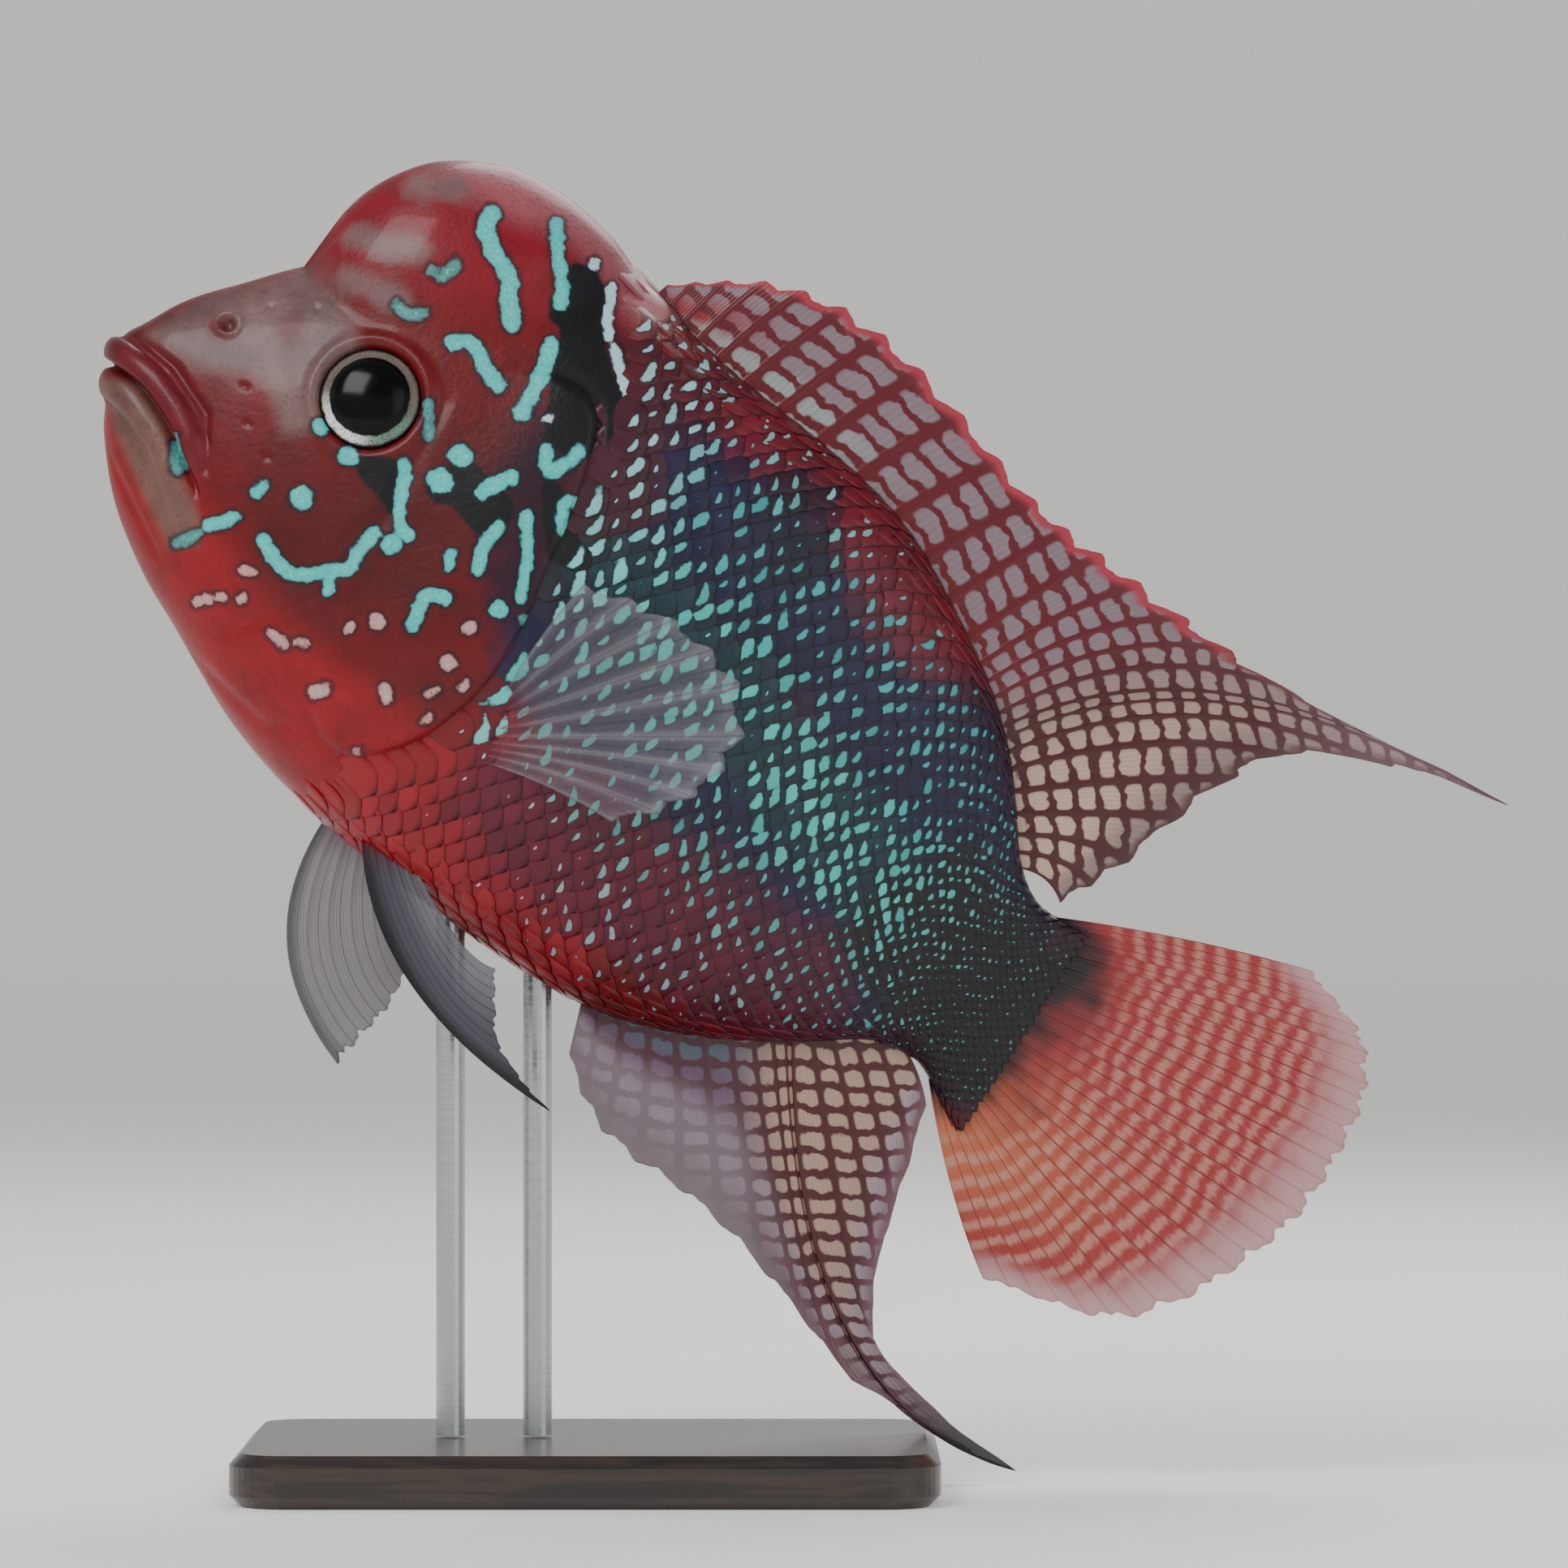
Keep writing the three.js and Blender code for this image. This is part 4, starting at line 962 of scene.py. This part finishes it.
def wet_eye():
    """An eye whose high gloss stands for its clear cornea: deep black pupil, silver-tan iris ring with
    flecks.
    """
    made, tree, shader = new_material("glossy living eye", 0.16, ior=1.33)
    shader.inputs["Specular IOR Level"].default_value = 0.35
    place = node(tree, "ShaderNodeTexCoord", output="Object")
    reach = node(tree, STORED, {"attribute_name": "reach"}, output="Fac")
    iris = node(tree, STORED, {"attribute_name": "iris"}, output="Color")
    uneven = node(tree, NOISE, {}, {"Vector": place, "Scale": 0.8 * PER_MM, "Detail": 3})
    worn = node(tree, MATH, ADD, [reach, node(tree, MATH, TIMES_ADD, [uneven, 0.5, -0.25])])
    fine = node(tree, NOISE, {}, {"Vector": place, "Scale": 3 * PER_MM, "Detail": 3})
    flecks = node(tree, STEP, SOFT, [fine, 0.45, 0.75])
    flecked = node(tree, MIX, COLOURS, {FACTOR: flecks, UNDER: iris, OVER: "#4a4038"}, MIXED)
    past_pupil = node(tree, STEP, SOFT, [worn, PUPIL_RADIUS - 0.15, PUPIL_RADIUS + 0.15])
    ring = node(tree, MIX, COLOURS, {FACTOR: past_pupil, UNDER: "#020203", OVER: flecked}, MIXED)
    past_iris = node(tree, STEP, SOFT, [worn, IRIS_RADIUS - 0.3, IRIS_RADIUS + 0.2])
    rimmed = {FACTOR: past_iris, UNDER: ring, OVER: "#1c1014"}
    node(tree, MIX, COLOURS, rimmed, MIXED, shader.inputs["Base Color"])
    return made


# Fins. Each row is one ray: root, middle and tip, the same as the solids have.
DORSAL_RAYS = [
    (73, 55, 73.6, 57.8, 74.5, 60.5), (79, 53, 80, 59.5, 81.5, 66), (86, 52, 88.5, 62.5, 92, 71.8),
    (97, 51, 100.8, 63, 105.3, 74.1), (112, 50, 116, 61.5, 121, 71.9), (128, 47, 133, 57.3, 138.8, 66.6),
    (142, 40.5, 147.5, 52.5, 153.5, 63), (153, 34, 159.5, 49.5, 166.4, 62.3), (158, 31, 169, 49, 184, 61.2),
    (162, 28, 179, 49.5, 203, 60.6), (165, 25.5, 196, 53.5, 246, 64.8), (168, 22.5, 188, 42.5, 211, 53.5),
    (172, 17.5, 187, 28.5, 201.6, 38.9), (176, 12.5, 186, 17.5, 195, 18.5), (179, 8.5, 184.5, 10, 189.5, 8),
]
ANAL_RAYS = [
    (128.5, -49, 130.5, -54.5, 132.5, -60), (133, -48.5, 137.5, -58, 140, -66),
    (139, -47, 146, -59.5, 150, -69.4), (145, -45, 155, -59, 162, -69.4),
    (151, -42, 165, -59.5, 175, -71.7), (156, -39.5, 176, -62.5, 191, -76.6),
    (160, -37, 187, -68.5, 207, -81.2), (162.5, -35.5, 199, -74.5, 237.4, -79),
    (165, -34, 193, -64.5, 206, -75.5), (169, -31.5, 188, -50, 197, -62),
    (173, -28.5, 186, -39.5, 193.4, -48), (177, -26, 184, -29.5, 189, -34),
]
CAUDAL_RAYS = [
    (188, 4.5, 211, 14.5, 233, 22), (191, 0.5, 220, 10, 247.5, 17), (192, -5, 224, 1, 254, 5.5),
    (192, -14, 224, -12.5, 255.3, -11), (191.5, -22, 221.5, -26, 250.5, -29),
    (190, -27.5, 214, -39, 237, -47.8), (187, -30, 200.5, -43.5, 214, -54),
]
PECTORAL_LEFT = [
    (90.3, -22, -16, 90, -27, -3.5, 91.5, -33, 9), (90.6, -22, -18, 98, -28, -2, 106, -35, 12.5),
    (91, -21.7, -20, 106, -29, -4.5, 120, -37, 11), (91.3, -21.3, -22, 110.5, -30, -11, 129, -39, -0.5),
    (91.4, -20.8, -24, 109, -29, -17, 126.5, -38.5, -12), (91.4, -20.3, -26, 104.5, -27, -23, 117, -36, -22),
]
PECTORAL_RIGHT = [
    (90.3, -22, -16, 93, -29, -3.5, 98, -37, 9), (90.6, -22, -18, 101, -30, -3, 111, -39, 10.5),
    (91, -21.7, -20, 108, -31, -7, 123, -41, 5), (91.3, -21.3, -22, 110.5, -31, -14, 129, -42, -6.5),
    (91.4, -20.8, -24, 108, -30, -20, 124.5, -41, -18), (91.4, -20.3, -26, 103, -28, -25, 114, -38, -27),
]
PELVIC_LEFT = [
    (80, -8, -44, 101, -12, -63.2, 135, -16, -69.3), (82.5, -7.8, -44, 102.5, -12.5, -60, 122, -16, -65),
    (85, -7.6, -44, 103.5, -13, -56.5, 117.5, -16, -59), (88, -7.4, -44, 104, -13, -52.7, 114, -15.5, -54),
]
PELVIC_RIGHT = [
    (75, -8, -43, 79.3, -14, -69, 99.5, -20, -84.3), (78, -7.8, -43, 84.5, -15, -66, 100.5, -21, -77),
    (81, -7.6, -43, 89.5, -15, -61.5, 101.5, -21, -70), (84, -7.4, -43, 94, -14, -56.5, 100, -20, -62.5),
]


def fin_rays(table, count, wave, keep):
    """Rays spread evenly through the table; one falls on the row named by keep, which has the filament."""
    rows = [row if len(row) == 9 else (*row[:1], 0, *row[1:3], 0, *row[3:5], 0, *row[5:]) for row in table]
    pitch = (len(rows) - 1) / (count - 1)
    index = np.arange(count)
    places = np.where(index == round(keep / pitch), keep, index * pitch)
    rays = np.stack([curve([(i, row[k]) for i, row in enumerate(rows)])(places) for k in range(9)], -1)
    rays = rays.reshape(count, 3, 3)
    rays[:, 2, 1] += wave * np.sin(index * 0.9)
    return rays


def fin_surface(rays, place, v):
    """The middle of the membrane: each ray is a bent line, and the web is ruled from ray to ray."""
    i = np.clip(np.floor(place).astype(int), 0, len(rays) - 2)
    share = (place - i)[..., None]
    v = v[..., None]

    def bend(k):
        root, middle, tip = rays[k, 0], rays[k, 1], rays[k, 2]
        pull = 2 * middle - (root + tip) / 2
        return root * (1 - v) ** 2 + 2 * pull * v * (1 - v) + tip * v**2

    return bend(i) * (1 - share) + bend(i + 1) * share


class Fin:
    """What one fin is made from; the painter gives its colours from place across, along and in space."""

    def __init__(self, name, node_name, table, count, painter, **sizes):
        self.name, self.node_name = name, node_name
        self.table, self.count, self.painter = table, count, painter
        self.mirrored = sizes.get("mirrored", False)
        self.wave, self.keep = sizes.get("wave", 0), sizes.get("keep", 0)
        self.notch, self.tip = sizes.get("notch", 0.04), sizes.get("tip", 0.35)
        self.ridge, self.web = sizes.get("ridge", 1.3), sizes.get("web", 0.6)
        self.fine, self.rows, self.cell = sizes.get("fine", 10), sizes.get("rows", 60), sizes.get("cell", 4.2)
        self.slot = sizes.get("slot", "fin_paired")


def make_fin(fin):
    """One fin: a thin closed plate, thicker along its rays, with what its finish reads at each point."""
    rays = fin_rays(fin.table, fin.count, fin.wave, fin.keep)
    columns = (fin.count - 1) * fin.fine + 1
    number_along = np.linspace(0, fin.count - 1, columns)
    share = number_along - np.round(number_along)
    between = np.abs(share) * 2
    fringe = 0.012 * np.sin(number_along * 2 * math.pi * 2.5) * between
    reach = 1 - fin.notch * np.sin(between * math.pi / 2) ** 1.5 + fringe
    v = np.linspace(0, 1, fin.rows + 1)
    place, down = np.meshgrid(number_along, v, indexing="ij")
    middle = fin_surface(rays, place, down * reach[:, None])
    across = np.gradient(middle, axis=0)
    along = np.gradient(middle, axis=1)
    normal = np.cross(across, along)
    normal /= np.maximum(np.linalg.norm(normal, axis=-1, keepdims=True), 1e-9)
    ridge = np.exp(-((share / 0.16) ** 2))[:, None]
    branch = np.exp(-(((np.abs(share) - 0.27) / 0.1) ** 2))[:, None] * smooth(0.35, 0.7, down)
    thick = fin.web + (fin.ridge - fin.web) * np.maximum(ridge * (1 - 0.5 * down), 0.45 * branch)
    thick = thick * (1 - down**1.5) + np.minimum(thick, fin.tip * (1 + 0.3 * ridge)) * down**1.5
    middle = middle + normal * (0.22 * mottle(middle, 6, 7) * smooth(0.1, 0.6, down))[..., None]
    top = middle + normal * thick[..., None] / 2
    bottom = middle - normal * thick[..., None] / 2
    if fin.mirrored:
        for side in (top, bottom):
            side[..., 1] *= -1
    rows = fin.rows + 1
    at = np.arange(columns * rows).reshape(columns, rows)
    low = at + columns * rows
    quads = np.stack([at[:-1, :-1], at[1:, :-1], at[1:, 1:], at[:-1, 1:]], -1).reshape(-1, 4)
    under = np.stack([low[:-1, :-1], low[:-1, 1:], low[1:, 1:], low[1:, :-1]], -1).reshape(-1, 4)
    walls = [
        np.stack([low[:-1, 0], low[1:, 0], at[1:, 0], at[:-1, 0]], -1),
        np.stack([at[:-1, -1], at[1:, -1], low[1:, -1], low[:-1, -1]], -1),
        np.stack([at[0, :-1], at[0, 1:], low[0, 1:], low[0, :-1]], -1),
        np.stack([low[-1, :-1], low[-1, 1:], at[-1, 1:], at[-1, :-1]], -1),
    ]
    faces = np.concatenate([quads, under] + walls)
    if fin.mirrored:
        faces = faces[:, ::-1]
    points = np.concatenate([top.reshape(-1, 3), bottom.reshape(-1, 3)])
    piece = mesh_piece(fin.name, on_stand(points), faces)
    length = np.cumsum(np.linalg.norm(along, axis=-1), axis=1)
    web = np.stack([place, length / fin.cell, down], -1)
    looks = fin.painter(place / (fin.count - 1), down, length, middle)
    for name, value in {"web": web, **looks}.items():
        value = np.broadcast_to(value, down.shape + np.shape(value)[2:]).reshape(down.size, -1)
        both_faces = np.concatenate([value, value])
        store(piece, name, both_faces if value.shape[1] > 1 else both_faces.ravel())
    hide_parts(fin.node_name)
    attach(piece, "root")
    return piece


def flat(code, u):
    """One colour at every point of a fin."""
    return np.broadcast_to(linear(code), u.shape + (3,)).copy()


def paint_dorsal(u, v, length, p):
    """Grey cells and a red saw edge on the spines in front, cream squares in a dark red net behind."""
    soft = smooth(0.55, 0.68, u)
    net = paint(flat("#5c0c1c", u), soft, "#461418")
    net = paint(net, smooth(0.88, 0.97, v) * (1 - soft), "#a82038")
    net = paint(net, smooth(0.3, 0.1, v) * (1 - soft) * 0.7, "#680814")
    cell = paint(flat("#82747c", u), soft, "#947c78")
    cell = paint(cell, smooth(0.62, 0.9, u) * smooth(0.85, 0.5, v), "#c8a898")
    cell = paint(cell, smooth(0.22, 0.08, u) * smooth(0.9, 0.4, v), "#8c0c20")
    cell = paint(cell, smooth(0.9, 0.98, v) * (1 - soft), "#a82c44")
    cell = paint(cell, 0.65 * smooth(0.36, 0.26, u) * smooth(0.42, 0.25, v), "#9fb4b0")
    cell = paint(cell, smooth(45, 75, length), "#a08488")
    net = paint(net, smooth(45, 75, length), "#6a4850")
    amount = 0.85 * smooth(0.99, 0.9, v) + 0.1
    return {"net": net, "cell": cell, "cell_amount": amount, "clear": 0.98 - 0.16 * smooth(0.75, 1, v)}


def paint_anal(u, v, length, p):
    """Lilac lobes with dark edges in front, cream cells in a maroon net behind."""
    soft = smooth(0.35, 0.55, u)
    net = paint(flat("#4a2030", u), smooth(0.2, 0.45, v) * (1 - soft), "#74646e")
    net = paint(net, soft * smooth(0.9, 0.3, v), "#4a1418")
    cell = paint(flat("#5f4460", u), smooth(0.2, 0.6, v), "#a898a8")
    cell = paint(cell, soft * smooth(0.75, 0.35, v), "#b89888")
    cell = paint(cell, smooth(0.5, 0.75, v), "#94848c")
    net = paint(net, soft * smooth(0.55, 0.8, v), "#6a3c48")
    cell = paint(cell, smooth(0.25, 0.05, v) * smooth(0.6, 0.2, u), "#3a6f78")
    net = paint(net, smooth(62, 85, length), "#141018")
    cell = paint(cell, smooth(62, 85, length), "#2a2028")
    amount = (0.8 * smooth(0.95, 0.7, v) + 0.12) * (1 - 0.55 * (1 - soft) * smooth(0.25, 0.5, v))
    return {"net": net, "cell": cell, "cell_amount": amount, "clear": 0.98 - 0.2 * smooth(0.6, 1, v)}


def paint_caudal(u, v, length, p):
    """Coral red with cream dashes between dark red rays, charcoal at the root and pale at the edge."""
    slow = mottle(p, 9, 21)
    net = paint(flat("#70121c", u), smooth(0.5, 1, u), "#843420")
    cell = paint(flat("#a02c30", u), smooth(0.45, 0.9, u) * smooth(0.8, 0.3, v), "#c06844")
    offset = lattice(np.floor(u * 15 - 1e-6).astype(np.int64), 0, 0, 5) * 9
    dashes = smooth(-0.1, 0.5, np.sin(length * 2 * math.pi / 3.8 + offset + 1.2 * slow))
    cell = paint(cell, 0.7 * dashes * smooth(0.15, 0.35, v) * smooth(0.98, 0.8, v), "#c89484")
    for_root = smooth(0.26, 0.06, v + 0.07 * slow + 0.04 * mottle(p, 3, 22))
    net, cell = paint(net, for_root, "#120a0e"), paint(cell, for_root, "#241418")
    edge = smooth(0.78, 0.98, v)
    net, cell = paint(net, edge * 0.9, "#b88084"), paint(cell, edge, "#c89a9c")
    clear = 0.98 - 0.2 * smooth(0.75, 1, v)
    return {"net": net, "cell": cell, "cell_amount": np.full(u.shape, 0.9), "clear": clear}


def paint_pectoral(u, v, length, p):
    """Nearly clear, with fine grey rays and a pink root."""
    cell = paint(flat("#8f8a94", u), smooth(0.25, 0.05, v), "#a84a5c")
    net = paint(flat("#5a5660", u), smooth(0.3, 0.05, v), "#8a2c3c")
    from_ray = u * 9 - np.round(u * 9)
    on_ray = np.exp(-((from_ray / 0.13) ** 2))
    clear = 0.13 + 0.3 * on_ray + 0.4 * smooth(0.12, 0, v) + 0.12 * smooth(0.9, 1, v)
    return {"net": net, "cell": cell, "cell_amount": np.full(u.shape, 0.8), "clear": clear}


def paint_near_pelvic(u, v, length, p):
    """Charcoal with a black leading edge."""
    cell = paint(flat("#4c4c58", u), smooth(0.3, 0.9, u), "#77727e")
    cell = paint(cell, smooth(0.3, 0.02, u), "#08080a")
    cell = paint(cell, smooth(0.2, 0.02, v), "#6a1c2c")
    net = paint(flat("#1c1c22", u), smooth(0.3, 0.02, u), "#050506")
    clear = 0.97 - 0.3 * smooth(0.2, 1, u)
    return {"net": net, "cell": cell, "cell_amount": np.full(u.shape, 0.75), "clear": clear}


def paint_lit_far_pelvic(u, v, length, p):
    """Pale, half clear, with fine rays: the left pelvic's colours painted paler, which is painted light."""
    cell = paint(flat("#a39ea4", u), smooth(0.25, 0.02, v), "#7a3040")
    cell = paint(cell, smooth(0.15, 0.02, u), "#4c4c54")
    net = flat("#5e5a62", u)
    return {"net": net, "cell": cell, "cell_amount": np.full(u.shape, 0.7), "clear": 0.8 - 0.1 * v}


def wet_membrane(name, netted):
    """Fin skin stretched over rays: a thin wet web with fine lines, its cells in a net or between rays."""
    made, tree, shader = new_material(name, 0.38, ior=1.38, coat=0.25)
    place = node(tree, "ShaderNodeTexCoord", output="Object")
    web_vector = node(tree, STORED, {"attribute_name": "web"}, output="Vector")
    web = node(tree, SPLIT, {}, [web_vector], None).outputs
    net_colour = node(tree, STORED, {"attribute_name": "net"}, output="Color")
    cell_colour = node(tree, STORED, {"attribute_name": "cell"}, output="Color")
    amount = node(tree, STORED, {"attribute_name": "cell_amount"}, output="Fac")
    lines = node(tree, MATH, TIMES, [web["X"], 1.0 if netted else 2.0])
    to_ray = node(tree, MATH, SUBTRACT, [0.5, node(tree, MATH, PINGPONG, [lines, 0.5])])
    off_ray = node(tree, MATH, DIVIDE, [to_ray, 0.36 if netted else 0.44])
    outside_cell = node(tree, MATH, POWER, [off_ray, 4])
    if netted:
        loose = node(tree, NOISE, {}, {"Vector": place, "Scale": 0.35 * PER_MM})
        wander = node(tree, MATH, TIMES_ADD, [loose, 0.7, -0.35])
        steps = node(tree, MATH, ADD, [web["Y"], wander])
        to_step = node(tree, MATH, SUBTRACT, [0.5, node(tree, MATH, PINGPONG, [steps, 0.5])])
        off_step = node(tree, MATH, DIVIDE, [to_step, 0.33])
        outside_cell = node(tree, MATH, ADD, [outside_cell, node(tree, MATH, POWER, [off_step, 4])])
    cell = node(tree, MATH, TIMES, [node(tree, STEP, SOFT, [outside_cell, 1.7, 0.6]), amount])
    colour = node(tree, MIX, COLOURS, {FACTOR: cell, UNDER: net_colour, OVER: cell_colour}, MIXED)
    streak = node(tree, MATH, SINE, [node(tree, MATH, TIMES, [web["X"], 44])])
    share = node(tree, MATH, TIMES_ADD, [streak, 0.06, 0.08])
    worn = {FACTOR: share, UNDER: colour, OVER: net_colour}
    node(tree, MIX, COLOURS, worn, MIXED, shader.inputs["Base Color"])
    node(tree, STORED, {"attribute_name": "clear"}, output="Fac", to=shader.inputs["Alpha"])
    crinkle = node(tree, NOISE, {}, {"Vector": place, "Scale": 1.5 * PER_MM})
    height = node(tree, MATH, ADD, [streak, crinkle])
    relief_inputs = {"Height": height, "Strength": 0.5, "Distance": 0.05 * MM}
    node(tree, BUMP, {}, relief_inputs, "Normal", shader.inputs["Normal"])
    return made


# Stand
def lacquered_wood():
    """Dark stained hardwood under satin lacquer: faint long grain below a smooth sheen."""
    made, tree, shader = new_material("dark satin lacquered wood", 0.35, ior=1.5, coat=0.3)
    place = node(tree, "ShaderNodeTexCoord", output="Object")
    along = node(tree, "ShaderNodeMapping", {}, {"Vector": place, "Scale": (0.08, 1, 1)}, "Vector")
    veins = node(tree, NOISE, {}, {"Vector": along, "Scale": 0.5 * PER_MM, "Detail": 6, "Distortion": 0.8})
    pores = node(tree, NOISE, {}, {"Vector": along, "Scale": 2.5 * PER_MM, "Detail": 3})
    light = node(tree, STEP, SOFT, [veins, 0.35, 0.65])
    tone = node(tree, MIX, COLOURS, {FACTOR: light, UNDER: "#1c1512", OVER: "#33251d"}, MIXED)
    dark = node(tree, STEP, SOFT, [pores, 0.6, 0.75, 0, 0.5])
    pored = {FACTOR: dark, UNDER: tone, OVER: "#0f0b09"}
    node(tree, MIX, COLOURS, pored, MIXED, shader.inputs["Base Color"])
    relief_inputs = {"Height": pores, "Strength": 0.25, "Distance": 0.05 * MM}
    node(tree, BUMP, {}, relief_inputs, "Normal", shader.inputs["Normal"])
    return made


def brushed_steel():
    """Steel rod drawn and brushed round its length: fine rings that stretch the highlight."""
    made, tree, shader = new_material("brushed stainless steel", 0.3, metallic=1.0)
    place = node(tree, "ShaderNodeTexCoord", output="Object")
    around = node(tree, "ShaderNodeMapping", {}, {"Vector": place, "Scale": (0.06, 0.06, 1)}, "Vector")
    lines = node(tree, NOISE, {}, {"Vector": around, "Scale": 3.5 * PER_MM})
    brushed = {FACTOR: lines, UNDER: "#a9acaf", OVER: "#c3c6c8"}
    node(tree, MIX, COLOURS, brushed, MIXED, shader.inputs["Base Color"])
    node(tree, STEP, SOFT, [lines, 0.3, 0.7, 0.24, 0.38], 0, shader.inputs["Roughness"])
    relief_inputs = {"Height": lines, "Strength": 0.3, "Distance": 0.02 * MM}
    node(tree, BUMP, {}, relief_inputs, "Normal", shader.inputs["Normal"])
    return made


def refinish(node_name, finish):
    """A carried-over solid keeps its shape and gets its real finish."""
    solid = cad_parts[node_name]
    solid.data.materials.clear()
    solid.data.materials.append(finish)


FLESH_NODES = (
    "head", "nuchal_hump", "jaw_lower", "gill_cover_left", "gill_cover_right", "trunk_front", "trunk_rear",
    "tail_root",
)
stage_and_camera()
skin = make_skin()
skin.data.materials.append(wet_skin())
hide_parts(*FLESH_NODES)
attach(skin, "root")
form = scale_form()
coat, scale_finish = coat_tree(), wet_scale()
COAT_PIECES = (
    ("scales_left_front", 1, 60, 128, 11), ("scales_left_rear", 1, 128, BODY_END - 3, 12),
    ("scales_right_front", -1, 60, 128, 13), ("scales_right_rear", -1, 128, BODY_END - 3, 14),
)
for name, side, start, end, seed in COAT_PIECES:
    cloud = scale_cloud(side, start, end, seed)
    maker = cloud.modifiers.new("coat of scales", "NODES")
    maker.node_group = coat
    sockets = {item.name: item.identifier for item in coat.interface.items_tree if item.in_out == "INPUT"}
    maker[sockets["Scale form"]] = form
    maker[sockets["Finish"]] = scale_finish
    maker[sockets["Patch size"]] = PATCH_ON_SKIN
    scales = baked_mesh(name, cloud)
    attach(scales, "root")
bpy.data.objects.remove(form)
eye_finish = wet_eye()
for name, side in (("left", -1), ("right", 1)):
    eye = make_eye("eyeball_" + name, side)
    eye.data.materials.append(eye_finish)
    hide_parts("eye_" + name)
    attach(eye, "root")
netted = wet_membrane("wet fin membrane with netted cells", True)
rayed = wet_membrane("wet fin membrane with plain rays", False)
FINS = (
    Fin("dorsal_fin", "fin_dorsal", DORSAL_RAYS, 26, paint_dorsal, wave=1, keep=10, notch=0.07, rows=64,
        slot="fin_tall"),
    Fin("anal_fin", "fin_anal", ANAL_RAYS, 16, paint_anal, wave=-0.8, keep=7, notch=0.06, fine=14, rows=64,
        slot="fin_tall", cell=3.8),
    Fin("caudal_fin", "fin_caudal", CAUDAL_RAYS, 16, paint_caudal, wave=0.8, notch=0.02, fine=14, rows=64,
        ridge=1.6, web=0.8, slot="fin_tail"),
    Fin("pectoral_fin_left", "fin_pectoral_left", PECTORAL_LEFT, 10, paint_pectoral, rows=36,
        ridge=0.9, web=0.4),
    Fin("pectoral_fin_right", "fin_pectoral_right", PECTORAL_RIGHT, 10, paint_pectoral, rows=36,
        ridge=0.9, web=0.4, mirrored=True),
    Fin("pelvic_fin_left", "fin_pelvic_left", PELVIC_LEFT, 6, paint_near_pelvic, notch=0.02, fine=14,
        ridge=1.1, web=0.5),
    Fin("pelvic_fin_right", "fin_pelvic_right", PELVIC_RIGHT, 6, paint_lit_far_pelvic, notch=0.02, fine=14,
        ridge=1.1, web=0.5, mirrored=True),
)
for fin in FINS:
    made = make_fin(fin)
    made.data.materials.append(netted if fin.slot == "fin_tall" else rayed)
refinish("stand_base", lacquered_wood())
steel = brushed_steel()
for rod in ("stand_rod_front", "stand_rod_rear"):
    refinish(rod, steel)
